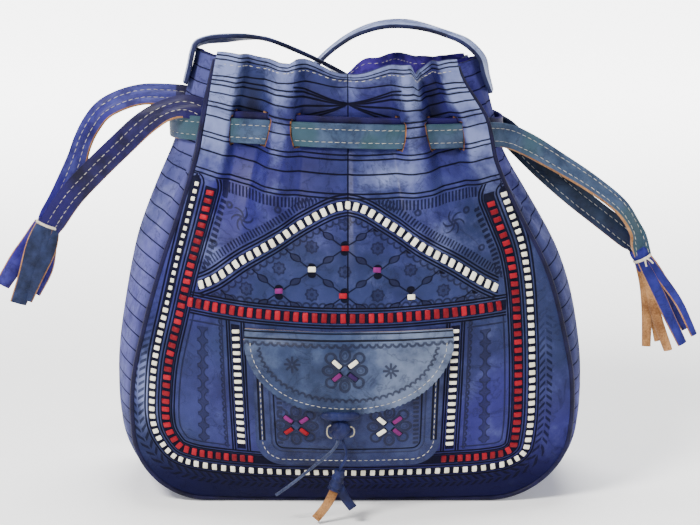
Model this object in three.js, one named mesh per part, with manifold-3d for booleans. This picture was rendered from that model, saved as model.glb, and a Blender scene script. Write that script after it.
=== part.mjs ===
// Gathered leather shoulder bag, standing on its base.
// Two U-shaped panels are joined by one long gusset, with a welt in each seam. Two flat tie straps run
// through slits in the neck and end in tassels. The front has a pocket with a flap and a knotted toggle.
// Millimetres, +Z up, the front faces -Y, and the origin is the middle of the base on its underside.
import * as THREE from 'three';
import { mergeVertices } from 'three/addons/utils/BufferGeometryUtils.js';
import Module from 'manifold-3d';

const wasm = await Module();
wasm.setup();

// Leather and seams
const WALL = 2;
const POCKET_WALL = 1.6;
const WELT_RADIUS = 1.7;
const FIT_GAP = 0.4;
const SEAM_SETBACK = WELT_RADIUS + 0.7;

// Body: a flat base with round lower corners, a belly, a gathered neck and a flared collar
const BASE_HALF = 94;
const CORNER_RADIUS = 50;
const SEAM_BOTTOM = WELT_RADIUS;
const NECK_Z = 250;
const RIM_Z = 300;
const GATHER_START_Z = 160;
const GATHER_FULL_Z = 240;
const COLLAR_SPREAD = 0.25;
const BODY_ROWS = [
  { z: 0, seamX: 94, seamY: 52, belly: 0, swell: 0, shove: 0 },
  { z: 15, seamX: 128, seamY: 52, belly: 12, swell: 3.5, shove: 2 },
  { z: 40, seamX: 142, seamY: 53, belly: 25, swell: 8.5, shove: 4.5 },
  { z: 80, seamX: 144, seamY: 53, belly: 35, swell: 11, shove: 6 },
  { z: 120, seamX: 136, seamY: 51, belly: 38, swell: 15, shove: 7.5 },
  { z: 160, seamX: 124.5, seamY: 47, belly: 36, swell: 17, shove: 8 },
  { z: 200, seamX: 110, seamY: 41, belly: 27, swell: 16, shove: 3.6 },
  { z: 232, seamX: 99.5, seamY: 35, belly: 18, swell: 13, shove: 0 },
  { z: 250, seamX: 96, seamY: 33, belly: 13, swell: 12, shove: 0 },
  { z: 275, seamX: 91, seamY: 33, belly: 13, swell: 11, shove: 0 },
  { z: 300, seamX: 85.5, seamY: 34, belly: 14, swell: 11, shove: 0 },
];

// Neck: the straps lie on an ellipse, and the leather passes in front of them (+) or behind them (-)
const RING_HALF_X = 111;
const RING_HALF_Y = 45;
const PANEL_FOLDS = [
  { u: 0, lift: -5.2 },
  { u: 0.31, lift: -5.2 },
  { u: 0.45, lift: 5.2 },
  { u: 0.52, lift: 5.2 },
  { u: 0.63, lift: -5.2 },
  { u: 0.76, lift: -5.2 },
  { u: 0.87, lift: 6.2 },
  { u: 0.93, lift: 7.2 },
  { u: 1, lift: 9.9 },
];
const GUSSET_FOLDS = [
  { s: 0, lift: 8.8 },
  { s: 0.3, lift: 6 },
  { s: 0.62, lift: -3.8 },
  { s: 0.8, lift: -1 },
  { s: 1, lift: 0 },
];

// Lobes of the rim, over the height of the neck; the back one dips where the shoulder strap lies over it
const FRONT_RIM = [
  { u: -1, lift: 52 },
  { u: -0.47, lift: 47 },
  { u: -0.4, lift: 51 },
  { u: 0, lift: 39.5 },
  { u: 0.48, lift: 50 },
  { u: 0.55, lift: 41.5 },
  { u: 0.83, lift: 50.5 },
  { u: 1, lift: 52 },
];
const BACK_RIM = [
  { u: -1, lift: 46 },
  { u: -0.62, lift: 31 },
  { u: -0.03, lift: 20 },
  { u: 0.25, lift: 37 },
  { u: 0.8, lift: 43 },
  { u: 1, lift: 47 },
];

// The soft neck leans to one side and tilts a little, its front stays over the base,
// and the right side of the front is shoved outward
const LEAN = -6.5;
const TILT = 0.03;
const SWAY_START_Z = 120;
const SHOVE_FROM_X = 50;
const SHOVE_OVER = 70;

// Straps: two layers of leather sewn flat
const TIE_WIDTH = 16.5;
const TIE_THICK = 2.4;
const TIE_LAYER = 1.45;
const TIE_RIGHT_Z = NECK_Z;
const TIE_LEFT_Z = NECK_Z + 4;
const LOOP_SLIP = 4;
const SLIT_ROOM = { width: 1, thick: 0.5 };
const SHOULDER_WIDTH = 24;
const SHOULDER_THICK = 3;

// Pocket, flap and toggle
const POCKET = { halfTop: 62, halfBottom: 60, corner: 18, bottom: 34, top: 113, swell: 3 };
const FLAP = { half: 67, top: 128, sideDrop: 8, drop: 54, power: 2.2, wall: 1.8 };
const TOGGLE = { x: -5, z: 65, halfX: 7.6, halfZ: 6.4, halfY: 6.2 };
const LOOP = { half: 10, radius: 3 };
const LACE_DIAMETER = 2.4;

// Tassels: a rolled head tied with thread, over hanging strips
const TASSEL = { headLength: 26, topHalf: 8, topThick: 5, lowHalf: 11, lowThick: 6.5 };
const STRIP = { width: 6.4, thick: 1.8 };
const TIE_THREAD = { at: 9, radius: 0.9 };

const LEATHER = { blue: 0x4a5a9a, violet: 0x40358f, teal: 0x4e667f, pale: 0x6f7fae, tan: 0xb08048, thread: 0xd8d2c0 };

const clamp01 = (t) => Math.min(1, Math.max(0, t));
const ease = (t) => t * t * (3 - 2 * t);

// A smooth curve through a table's rows
function through(rows, key, column, at) {
  const last = rows.length - 1;
  if (at <= rows[0][key]) return rows[0][column];
  if (at >= rows[last][key]) return rows[last][column];
  let i = 0;
  while (rows[i + 1][key] < at) i += 1;
  const span = rows[i + 1][key] - rows[i][key];
  const t = (at - rows[i][key]) / span;
  const slope = (j) => {
    const a = rows[Math.max(j - 1, 0)];
    const b = rows[Math.min(j + 1, last)];
    return ((b[column] - a[column]) / (b[key] - a[key])) * span;
  };
  const [p, q] = [rows[i][column], rows[i + 1][column]];
  const t2 = t * t;
  const t3 = t2 * t;
  return (
    (2 * t3 - 3 * t2 + 1) * p + (t3 - 2 * t2 + t) * slope(i) + (3 * t2 - 2 * t3) * q + (t3 - t2) * slope(i + 1)
  );
}

// Flat stretches joined by soft steps, for folds
function folds(rows, key, at) {
  const last = rows.length - 1;
  if (at >= rows[last][key]) return rows[last].lift;
  let i = 0;
  while (rows[i + 1][key] < at) i += 1;
  const t = ease((at - rows[i][key]) / (rows[i + 1][key] - rows[i][key]));
  return rows[i].lift + (rows[i + 1].lift - rows[i].lift) * t;
}

const body = (column, z) => through(BODY_ROWS, 'z', column, z);
const gather = (z) =>
  ease(clamp01((z - GATHER_START_Z) / (GATHER_FULL_Z - GATHER_START_Z))) +
  COLLAR_SPREAD * ease(clamp01((z - NECK_Z) / (RIM_Z - NECK_Z)));
const ringDepth = (x) => RING_HALF_Y * Math.sqrt(Math.max(0, 1 - (x / RING_HALF_X) ** 2));

// Half-width of the U outline at a height, taken in by a setback
function outlineHalf(z, setback) {
  const cornerTop = SEAM_BOTTOM + CORNER_RADIUS;
  if (z >= cornerTop) return body('seamX', z) - setback;
  const radius = CORNER_RADIUS - setback;
  const reach = Math.sqrt(Math.max(0, radius ** 2 - (cornerTop - z) ** 2));
  const blend = ease(clamp01((z - SEAM_BOTTOM) / CORNER_RADIUS));
  const drift = body('seamX', cornerTop) - (BASE_HALF + CORNER_RADIUS);
  return BASE_HALF + reach + drift * blend;
}

const rimHeight = (rim, u) => NECK_Z + folds(rim, 'u', u);

// How far a panel's middle layer stands from the bag's middle plane
function panelDepth(u, z) {
  const plain = (level) => body('seamY', level) + body('belly', level) * (1 - u * u);
  const neckX = u * (body('seamX', NECK_Z) - SEAM_SETBACK);
  const neck = ringDepth(neckX) + folds(PANEL_FOLDS, 'u', Math.abs(u));
  return plain(z) + gather(z) * (neck - plain(NECK_Z));
}

// A point of the front (side -1) or back (side 1) panel; level runs from the base to RIM_Z
function panelPoint(u, level, side) {
  const x = u * outlineHalf(level, SEAM_SETBACK);
  const collar = clamp01((level - NECK_Z) / (RIM_Z - NECK_Z));
  const rim = rimHeight(side < 0 ? FRONT_RIM : BACK_RIM, u);
  const z = level + collar * collar * (rim - RIM_Z);
  return new THREE.Vector3(x, side * panelDepth(u, level), z);
}

function panelNormal(u, level, side) {
  const step = 0.004;
  const across = panelPoint(u + step, level, side).sub(panelPoint(u - step, level, side));
  const up = panelPoint(u, level + 1, side).sub(panelPoint(u, level - 1, side));
  return across.cross(up).normalize().multiplyScalar(-side);
}

// A point in front of the front panel, at a place given in the front view
function onFront(x, z, away) {
  const u = x / outlineHalf(z, SEAM_SETBACK);
  return panelPoint(u, z, -1).addScaledVector(panelNormal(u, z, -1), away);
}

function sway(p) {
  const share = ease(clamp01((p.z - SWAY_START_Z) / (NECK_Z - SWAY_START_Z)));
  const tilted = p.z - TILT * p.x * share * clamp01(2 - Math.abs(p.x) / RING_HALF_X);
  const lean = LEAN * share * ease(clamp01(1 + p.y / RING_HALF_Y));
  const shove = body('shove', p.z) * ease(clamp01((p.x - SHOVE_FROM_X) / SHOVE_OVER)) * clamp01(-p.y / RING_HALF_Y);
  return new THREE.Vector3(p.x + lean + shove, p.y, tilted);
}

// A closed geometry from corner points and quads
function closed(points, quads) {
  const triangles = quads.flatMap(([a, b, c, d]) => (d === undefined ? [a, b, c] : [a, b, c, a, c, d]));
  const geometry = new THREE.BufferGeometry();
  geometry.setAttribute('position', new THREE.Float32BufferAttribute(points.flatMap((p) => p.toArray()), 3));
  geometry.setIndex(triangles);
  return geometry;
}

// A wall from a grid of middle-layer points: rows go up, columns go to the right as seen from outside
function wall(grid, thick) {
  const rows = grid.length;
  const columns = grid[0].length;
  const at = (i, j) => grid[Math.min(Math.max(i, 0), rows - 1)][Math.min(Math.max(j, 0), columns - 1)];
  const outer = [];
  const inner = [];
  grid.forEach((row, i) =>
    row.forEach((p, j) => {
      const across = at(i, j + 1).clone().sub(at(i, j - 1));
      const up = at(i + 1, j).clone().sub(at(i - 1, j));
      const normal = across.cross(up).normalize();
      outer.push(p.clone().addScaledVector(normal, thick / 2));
      inner.push(p.clone().addScaledVector(normal, -thick / 2));
    }),
  );
  const back = outer.length;
  const id = (i, j) => i * columns + j;
  const quads = [];
  for (let i = 0; i < rows - 1; i += 1) {
    for (let j = 0; j < columns - 1; j += 1) {
      quads.push([id(i, j), id(i, j + 1), id(i + 1, j + 1), id(i + 1, j)]);
      quads.push([back + id(i, j), back + id(i + 1, j), back + id(i + 1, j + 1), back + id(i, j + 1)]);
    }
  }
  const edge = (a, b) => quads.push([a, back + a, back + b, b]);
  for (let j = 0; j < columns - 1; j += 1) {
    edge(id(0, j), id(0, j + 1));
    edge(id(rows - 1, j + 1), id(rows - 1, j));
  }
  for (let i = 0; i < rows - 1; i += 1) {
    edge(id(i + 1, 0), id(i, 0));
    edge(id(i, columns - 1), id(i + 1, columns - 1));
  }
  return closed([...outer, ...inner], quads);
}

// A closed bar: a section, given as sideways and outward sizes, carried along stations
function sweep(stations, section) {
  const points = stations.flatMap(({ place, along, face }) => {
    const side = face.clone().cross(along).normalize();
    const out = along.clone().cross(side).normalize();
    return section.map(([w, h]) => place.clone().addScaledVector(side, w).addScaledVector(out, h));
  });
  const count = section.length;
  const end = count * (stations.length - 1);
  const quads = [];
  for (let k = 1; k < count - 1; k += 1) {
    quads.push([0, k + 1, k], [end, end + k, end + k + 1]);
  }
  for (let i = 0; i < end; i += count) {
    for (let k = 0; k < count; k += 1) {
      const next = (k + 1) % count;
      quads.push([i + k, i + next, i + count + next, i + count + k]);
    }
  }
  return closed(points, quads);
}

// A flat strap through route rows: a place, and the way its face looks
function strap(route, steps, width, thick) {
  const path = new THREE.CatmullRomCurve3(route.map((r) => new THREE.Vector3(r.x, r.y, r.z)));
  const faces = new THREE.CatmullRomCurve3(route.map((r) => new THREE.Vector3(r.fx, r.fy, r.fz)));
  const stations = Array.from({ length: steps + 1 }, (_, i) => ({
    place: path.getPoint(i / steps),
    along: path.getTangent(i / steps),
    face: faces.getPoint(i / steps),
  }));
  const [w, h] = [width / 2, thick / 2];
  return sweep(stations, [[-w, -h], [w, -h], [w, h], [-w, h]]);
}

const roundSection = (radius, sides) =>
  Array.from({ length: sides }, (_, k) => {
    const a = (2 * Math.PI * k) / sides;
    return [Math.cos(a) * radius, Math.sin(a) * radius];
  });

// A round cord along points
function roundCord(points, steps, diameter, sides) {
  const section = new THREE.Shape(roundSection(diameter / 2, sides).map(([a, b]) => new THREE.Vector2(a, b)));
  const path = new THREE.CatmullRomCurve3(points);
  return new THREE.ExtrudeGeometry(section, { steps, extrudePath: path, bevelEnabled: false });
}

// Boolean helpers
function solid(geometry) {
  const bare = geometry.clone();
  bare.deleteAttribute('normal');
  bare.deleteAttribute('uv');
  const merged = mergeVertices(bare, 1e-3);
  return new wasm.Manifold(
    new wasm.Mesh({
      numProp: 3,
      vertProperties: merged.attributes.position.array,
      triVerts: new Uint32Array(merged.index.array),
    }),
  );
}

function geometryOf(manifold) {
  const mesh = manifold.getMesh();
  const geometry = new THREE.BufferGeometry();
  geometry.setAttribute('position', new THREE.BufferAttribute(new Float32Array(mesh.vertProperties), 3));
  geometry.setIndex(new THREE.BufferAttribute(new Uint32Array(mesh.triVerts), 1));
  return geometry;
}

const cutBy = (geometry, cutters) =>
  geometryOf(cutters.reduce((left, cutter) => left.subtract(cutter), solid(geometry)));
const joined = (geometries) =>
  geometryOf(geometries.slice(1).reduce((sum, g) => sum.add(solid(g)), solid(geometries[0])));

const bag = new THREE.Group();

function addPiece(name, geometry, color, roughness = 0.55) {
  const place = geometry.getAttribute('position');
  for (let i = 0; i < place.count; i += 1) {
    const p = sway(new THREE.Vector3().fromBufferAttribute(place, i));
    place.setXYZ(i, p.x, p.y, p.z);
  }
  geometry.computeVertexNormals();
  const material = new THREE.MeshStandardMaterial({ color, roughness, metalness: 0 });
  const mesh = new THREE.Mesh(geometry, material);
  mesh.name = name;
  bag.add(mesh);
}

// Tie straps

// Part of the neck's ellipse; the loop slips a little lower at its far side
function ringRows(fromDeg, toDeg, layer, z, farSide) {
  const rows = [];
  const stepDeg = 10;
  const count = Math.round(Math.abs(toDeg - fromDeg) / stepDeg);
  for (let i = 0; i <= count; i += 1) {
    const a = THREE.MathUtils.degToRad(fromDeg + ((toDeg - fromDeg) * i) / count);
    const face = new THREE.Vector2(Math.cos(a) / RING_HALF_X, Math.sin(a) / RING_HALF_Y).normalize();
    rows.push({
      x: RING_HALF_X * Math.cos(a) + layer * face.x,
      y: RING_HALF_Y * Math.sin(a) + layer * face.y,
      z: z - LOOP_SLIP * clamp01(farSide * Math.cos(a)) ** 4,
      fx: face.x,
      fy: face.y,
      fz: 0,
    });
  }
  return rows;
}

// The right strap is the outer layer: it goes round the left side, and its ends leave at the right
const RIGHT_FRONT_END = [
  { x: 199, y: -2, z: 168, fx: 0.1, fy: -1, fz: 0 },
  { x: 196, y: -4, z: 178, fx: 0.15, fy: -1, fz: 0.1 },
  { x: 188, y: -7, z: 193, fx: 0.1, fy: -1, fz: 0.2 },
  { x: 170, y: -9, z: 210, fx: 0, fy: -1, fz: 0.3 },
  { x: 145, y: -10, z: 228, fx: 0, fy: -1, fz: 0.3 },
  { x: 126, y: -11, z: 240, fx: 0.1, fy: -1, fz: 0.25 },
  { x: 111, y: -16, z: 247, fx: 0.4, fy: -0.9, fz: 0.1 },
];
const RIGHT_BACK_END = [
  { x: 111, y: 15, z: 246, fx: 0.4, fy: 0.9, fz: 0 },
  { x: 122, y: 9, z: 236, fx: 0.1, fy: 1, fz: 0.1 },
  { x: 138, y: 5, z: 214, fx: 0, fy: 1, fz: 0.2 },
  { x: 157, y: 4, z: 194, fx: -0.1, fy: 1, fz: 0.2 },
  { x: 175, y: 4, z: 180, fx: -0.1, fy: 1, fz: 0.1 },
  { x: 190, y: 3, z: 172, fx: 0, fy: 1, fz: 0 },
  { x: 197, y: 2, z: 166, fx: 0.1, fy: 1, fz: 0 },
];
// The left strap is the inner layer, a little higher: its ends climb over the right one and leave at the left
const LEFT_FRONT_END = [
  { x: -198.5, y: -2, z: 178, fx: 0, fy: -1, fz: 0 },
  { x: -193, y: -3.5, z: 186, fx: 0, fy: -1, fz: 0.1 },
  { x: -182, y: -6, z: 200, fx: 0, fy: -1, fz: 0.1 },
  { x: -166, y: -9, z: 216, fx: 0, fy: -1, fz: 0.1 },
  { x: -148, y: -12, z: 234, fx: 0, fy: -1, fz: 0.15 },
  { x: -130, y: -14, z: 252, fx: -0.1, fy: -1, fz: 0.2 },
  { x: -116, y: -15, z: 262, fx: -0.2, fy: -1, fz: 0.1 },
  { x: -103, y: -17, z: 266, fx: -0.4, fy: -0.9, fz: 0 },
  { x: -91, y: -22.6, z: 259.5, fx: -0.5, fy: -0.85, fz: 0 },
];
const LEFT_BACK_END = [
  { x: -91, y: 22.6, z: 259.5, fx: -0.5, fy: 0.85, fz: 0 },
  { x: -103, y: 17, z: 266.2, fx: -0.4, fy: 0.9, fz: 0 },
  { x: -117, y: 15.5, z: 268.5, fx: -0.2, fy: 0.9, fz: -0.3 },
  { x: -132, y: 14, z: 270, fx: 0, fy: 0.75, fz: -0.6 },
  { x: -146, y: 12, z: 267, fx: 0.2, fy: 0.75, fz: -0.6 },
  { x: -159, y: 10, z: 260, fx: 0.45, fy: 0.75, fz: -0.4 },
  { x: -168, y: 8, z: 249, fx: 0.6, fy: 0.75, fz: -0.1 },
  { x: -174, y: 6, z: 236, fx: 0.65, fy: 0.75, fz: 0 },
  { x: -178, y: 5, z: 222, fx: 0.6, fy: 0.8, fz: 0.1 },
  { x: -183, y: 4, z: 209, fx: 0.45, fy: 0.9, fz: 0.1 },
  { x: -191, y: 3, z: 194, fx: 0.2, fy: 1, fz: 0 },
  { x: -201, y: 2, z: 178, fx: 0, fy: 1, fz: 0 },
];
const TIE_STEPS = 82;
const rightRoute = [...RIGHT_FRONT_END, ...ringRows(-38, -322, TIE_LAYER, TIE_RIGHT_Z, -1), ...RIGHT_BACK_END];
const leftRoute = [...LEFT_FRONT_END, ...ringRows(-135, 135, -TIE_LAYER, TIE_LEFT_Z, 1), ...LEFT_BACK_END];
const slitCutters = [rightRoute, leftRoute].map((route) =>
  solid(strap(route, TIE_STEPS, TIE_WIDTH + 2 * SLIT_ROOM.width, TIE_THICK + 2 * SLIT_ROOM.thick)),
);
addPiece('tie_strap_right', strap(rightRoute, TIE_STEPS, TIE_WIDTH, TIE_THICK), LEATHER.teal);
addPiece('tie_strap_left', strap(leftRoute, TIE_STEPS, TIE_WIDTH, TIE_THICK), LEATHER.violet);

// Panels

const PANEL_LEVELS = [10, 24, 48, 80, 112, 144, 174, 200, 222, 238, 250, 277, 300];
const HALF_COLUMNS = [0.15, 0.31, 0.38, 0.45, 0.52, 0.575, 0.63, 0.7, 0.76, 0.815, 0.87, 0.93, 1];
const PANEL_COLUMNS = [...HALF_COLUMNS.map((u) => -u).reverse(), 0, ...HALF_COLUMNS];

function panel(side) {
  const levels = [SEAM_BOTTOM + SEAM_SETBACK, ...PANEL_LEVELS];
  const grid = levels.map((z) => PANEL_COLUMNS.map((u) => panelPoint(-side * u, z, side)));
  return cutBy(wall(grid, WALL), slitCutters);
}
addPiece('front_panel', panel(-1), LEATHER.blue);
addPiece('back_panel', panel(1), LEATHER.blue);

// Gusset: one strip down the left side, under the base and up the right side

const SIDE_LEVELS = [296, 285, 274, 262, 250, 238, 222, 200, 174, 144, 112, 80];
const CORNER_STEPS = 7;
const BASE_STEPS = 4;
const GUSSET_COLUMNS = [-1, -0.8, -0.62, -0.3, 0, 0.3, 0.62, 0.8, 1];
const SEAT_DROP = WELT_RADIUS - WALL / 2;

// The right half of the seam in the front view, from the rim to the middle of the base
function seamHalf() {
  const centreZ = SEAM_BOTTOM + CORNER_RADIUS;
  const rows = SIDE_LEVELS.map((z) => ({ x: body('seamX', z), z }));
  for (let k = 0; k < CORNER_STEPS; k += 1) {
    const z = centreZ - CORNER_RADIUS * Math.sin((Math.PI / 2) * (k / CORNER_STEPS));
    rows.push({ x: outlineHalf(z, 0), z });
  }
  for (let k = 0; k <= BASE_STEPS / 2; k += 1) {
    rows.push({ x: BASE_HALF * (1 - (2 * k) / BASE_STEPS), z: SEAM_BOTTOM });
  }
  return rows;
}

function seamLine() {
  const right = seamHalf();
  const left = right.slice(0, -1).map((r) => ({ x: -r.x, z: r.z }));
  return [...left, ...right.reverse()];
}

// The side's outward push across the strip; s runs from the front seam to the back one
function gussetPush(s, z) {
  const plain = (level) => body('swell', level) * (1 - s * s);
  const neck = folds(GUSSET_FOLDS, 's', Math.abs(s));
  return SEAT_DROP + plain(z) + gather(z) * (neck - plain(NECK_Z));
}

function gusset() {
  const line = seamLine();
  const grid = line.map((p, i) => {
    const before = line[Math.max(i - 1, 0)];
    const after = line[Math.min(i + 1, line.length - 1)];
    const along = new THREE.Vector2(after.x - before.x, after.z - before.z).normalize();
    const onBase = p.z <= SEAM_BOTTOM;
    const out = onBase ? new THREE.Vector2(0, -1) : new THREE.Vector2(along.y, -along.x);
    const depth = body('seamY', p.z) - SEAM_SETBACK;
    return GUSSET_COLUMNS.map((s) => {
      const push = onBase ? SEAT_DROP : Math.min(gussetPush(s, p.z), SEAT_DROP + 0.5 * (p.z - SEAM_BOTTOM));
      return new THREE.Vector3(p.x + out.x * push, s * depth, p.z + out.y * push);
    });
  });
  return cutBy(wall(grid, WALL), slitCutters);
}
addPiece('gusset', gusset(), LEATHER.blue);

// Welts: the round edge in each seam
const WELT_SIDES = 6;

function welt(side) {
  const points = seamLine().map((p) => new THREE.Vector3(p.x, side * body('seamY', p.z), p.z));
  const stations = points.map((place, i) => {
    const before = points[Math.max(i - 1, 0)];
    const after = points[Math.min(i + 1, points.length - 1)];
    return { place, along: after.clone().sub(before).normalize(), face: new THREE.Vector3(0, side, 0) };
  });
  return sweep(stations, roundSection(WELT_RADIUS, WELT_SIDES));
}
addPiece('front_welt', welt(-1), LEATHER.violet);
addPiece('back_welt', welt(1), LEATHER.violet);

// Pocket: a bowed patch sewn on three sides, open at the top under its flap

const POCKET_ROWS = 7;
const POCKET_COLUMNS = 12;
const POCKET_SEAT = WALL / 2 + FIT_GAP + POCKET_WALL / 2;

function pocketHalf(z) {
  const rise = z - POCKET.bottom;
  const plain = POCKET.halfBottom + ((POCKET.halfTop - POCKET.halfBottom) * rise) / (POCKET.top - POCKET.bottom);
  if (rise >= POCKET.corner) return plain;
  return plain - POCKET.corner + Math.sqrt(POCKET.corner ** 2 - (POCKET.corner - rise) ** 2);
}

function pocketAway(x, z) {
  const up = clamp01((z - POCKET.bottom) / (POCKET.top - POCKET.bottom));
  const across = clamp01(Math.abs(x) / pocketHalf(Math.min(z, POCKET.top)));
  return POCKET_SEAT + POCKET.swell * Math.sin((up * Math.PI) / 2) * (1 - across ** 2.5);
}

function pocket() {
  const grid = [];
  for (let i = 0; i <= POCKET_ROWS; i += 1) {
    const t = i / POCKET_ROWS;
    const z = POCKET.bottom + (POCKET.top - POCKET.bottom) * t ** 1.4;
    const half = pocketHalf(z);
    const row = [];
    for (let j = 0; j <= POCKET_COLUMNS; j += 1) {
      const x = half * ((2 * j) / POCKET_COLUMNS - 1);
      row.push(onFront(x, z, pocketAway(x, z)));
    }
    grid.push(row);
  }
  return wall(grid, POCKET_WALL);
}
addPiece('pocket_body', pocket(), LEATHER.blue);

// Flap: a half oval over the pocket, sewn along its straight top

const FLAP_ROWS = [0, 0.25, 0.5, 0.72, 0.86, 1];
const FLAP_COLUMNS = 12;

function flapAway(x, z) {
  const seat = WALL / 2 + FIT_GAP + FLAP.wall / 2;
  const over = pocketAway(x, z) + POCKET_WALL / 2 + 2 * FIT_GAP + FLAP.wall / 2;
  const hinge = ease(clamp01((FLAP.top - z) / (FLAP.top - POCKET.top - 3)));
  return seat + (over - seat) * hinge;
}

function flap() {
  const grid = [];
  for (const rise of FLAP_ROWS) {
    const row = [];
    for (let j = 0; j <= FLAP_COLUMNS; j += 1) {
      const a = Math.sin((Math.PI / 2) * ((2 * j) / FLAP_COLUMNS - 1));
      const drop = FLAP.sideDrop + (FLAP.drop - FLAP.sideDrop) * Math.max(0, 1 - Math.abs(a) ** FLAP.power) ** 0.5;
      const x = FLAP.half * a;
      const z = FLAP.top - drop * (1 - rise);
      row.push(onFront(x, z, flapAway(x, z)));
    }
    grid.push(row);
  }
  return wall(grid, FLAP.wall);
}
addPiece('pocket_flap', flap(), LEATHER.teal);

// Toggle: a rolled knot under the flap's edge, held by the flap's loop, with hanging laces

const toggleBack = pocketAway(TOGGLE.x, TOGGLE.z) + POCKET_WALL / 2 + FIT_GAP;
const toggleAt = onFront(TOGGLE.x, TOGGLE.z, toggleBack + TOGGLE.halfY);
const knot = new THREE.SphereGeometry(1, 12, 8);
knot.scale(TOGGLE.halfX, TOGGLE.halfY, TOGGLE.halfZ);
knot.translate(toggleAt.x, toggleAt.y, toggleAt.z);
addPiece('toggle_knot', knot, LEATHER.blue);

const flapFoot = FLAP.top - FLAP.drop + 1;
const loopAway = flapAway(TOGGLE.x, flapFoot) + FLAP.wall / 2 + FIT_GAP + LOOP.radius;
const loopAt = onFront(TOGGLE.x, flapFoot, loopAway);
loopAt.z = toggleAt.z + TOGGLE.halfZ + FIT_GAP + LOOP.radius;
const loop = new THREE.CapsuleGeometry(LOOP.radius, 2 * (LOOP.half - LOOP.radius), 3, 8);
loop.rotateZ(Math.PI / 2);
loop.translate(loopAt.x, loopAt.y, loopAt.z);
addPiece('flap_loop', loop, LEATHER.violet);

const LACE_SIDES = 8;
const knotFoot = toggleAt.z - TOGGLE.halfZ - FIT_GAP;
const LACE_ROUTE = [
  { x: -6.6, y: toggleAt.y - 0.4, z: knotFoot },
  { x: -7.4, y: toggleAt.y - 1, z: knotFoot - 3 },
  { x: -13, y: toggleAt.y - 3, z: knotFoot - 9 },
  { x: -24, y: toggleAt.y - 4, z: knotFoot - 18 },
  { x: -36, y: toggleAt.y - 4, z: knotFoot - 28 },
  { x: -47.5, y: toggleAt.y - 3, z: knotFoot - 37 },
];
const TAIL_ROUTE = [
  { x: -3.4, y: toggleAt.y - 0.4, z: knotFoot },
  { x: -2.4, y: toggleAt.y - 0.8, z: knotFoot - 3 },
  { x: -1, y: toggleAt.y - 2, z: knotFoot - 8 },
  { x: -2, y: toggleAt.y - 2.6, z: knotFoot - 13 },
  { x: -5, y: toggleAt.y - 3, z: knotFoot - 18.5 },
];
const WRAP = { topRadius: 3.4, footRadius: 4.6, length: 14, below: 26.4, tiltDeg: 16 };
const TAN_ROUTE = [
  { x: -9.3, y: toggleAt.y - 3, z: knotFoot - 34.4, fx: 0, fy: -1, fz: 0 },
  { x: -12.5, y: toggleAt.y - 3.6, z: knotFoot - 41, fx: 0.1, fy: -1, fz: 0 },
  { x: -17, y: toggleAt.y - 4.6, z: knotFoot - 47.4, fx: 0.2, fy: -1, fz: 0 },
  { x: -21.5, y: toggleAt.y - 5.6, z: knotFoot - 52.6, fx: 0.1, fy: -1, fz: 0 },
];
const TAB_ROUTE = [
  { x: -6, y: toggleAt.y - 3.4, z: knotFoot - 30, fx: 0, fy: -1, fz: 0 },
  { x: -2, y: toggleAt.y - 5, z: knotFoot - 38, fx: -0.1, fy: -1, fz: 0 },
  { x: 3.3, y: toggleAt.y - 6, z: knotFoot - 45, fx: -0.2, fy: -1, fz: 0 },
];
const TAIL_STRIP = { width: 6, thick: 1.8 };
const asVector = (r) => new THREE.Vector3(r.x, r.y, r.z);
addPiece('toggle_lace', roundCord(LACE_ROUTE.map(asVector), 10, LACE_DIAMETER, LACE_SIDES), LEATHER.blue);
addPiece('toggle_tail', roundCord(TAIL_ROUTE.map(asVector), 5, LACE_DIAMETER, LACE_SIDES), LEATHER.blue);
addPiece('tail_end', strap(TAN_ROUTE, 7, TAIL_STRIP.width, TAIL_STRIP.thick), LEATHER.tan);

const wrap = new THREE.CylinderGeometry(WRAP.topRadius, WRAP.footRadius, WRAP.length, 10);
wrap.rotateX(Math.PI / 2);
wrap.rotateY(THREE.MathUtils.degToRad(WRAP.tiltDeg));
wrap.translate(-7, toggleAt.y - 3, knotFoot - WRAP.below);
addPiece('tail_wrap', joined([wrap, strap(TAB_ROUTE, 5, TAIL_STRIP.width, TAIL_STRIP.thick)]), LEATHER.blue);

// Tassels

const LEFT_STRIPS = [
  { across: -9, depth: 1, length: 52, splay: -10 },
  { across: -3, depth: -3, length: 58, splay: -4 },
  { across: 3, depth: -4, length: 56, splay: 1 },
  { across: 9, depth: -1, length: 53, splay: 6 },
  { across: -5, depth: 4, length: 50, splay: -7 },
  { across: 5, depth: 4, length: 54, splay: 3 },
];
const RIGHT_STRIPS = [
  { across: 8, depth: -3, length: 68, splay: 10 },
  { across: 2, depth: -4, length: 72, splay: 5 },
  { across: -4, depth: -2, length: 58, splay: -6 },
  { across: 5, depth: 4, length: 64, splay: 3 },
  { across: -2, depth: 4, length: 66, splay: -2 },
  { across: -8, depth: 2, length: 60, splay: -12 },
];

// One hanging strip, in the tassel's own frame: it hangs along -Z from the head
function strip(row) {
  const start = -TASSEL.headLength * 0.6;
  const end = -TASSEL.headLength - row.length + 26;
  const middle = (start + end) / 2;
  return strap(
    [
      { x: row.across * 0.75, y: row.depth * 0.6, z: start, fx: 0, fy: -1, fz: 0 },
      { x: row.across + row.splay * 0.35, y: row.depth, z: middle, fx: 0, fy: -1, fz: 0 },
      { x: row.across + row.splay, y: row.depth * 1.3, z: end, fx: 0, fy: -1, fz: 0 },
    ],
    3,
    STRIP.width,
    STRIP.thick,
  );
}

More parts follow.
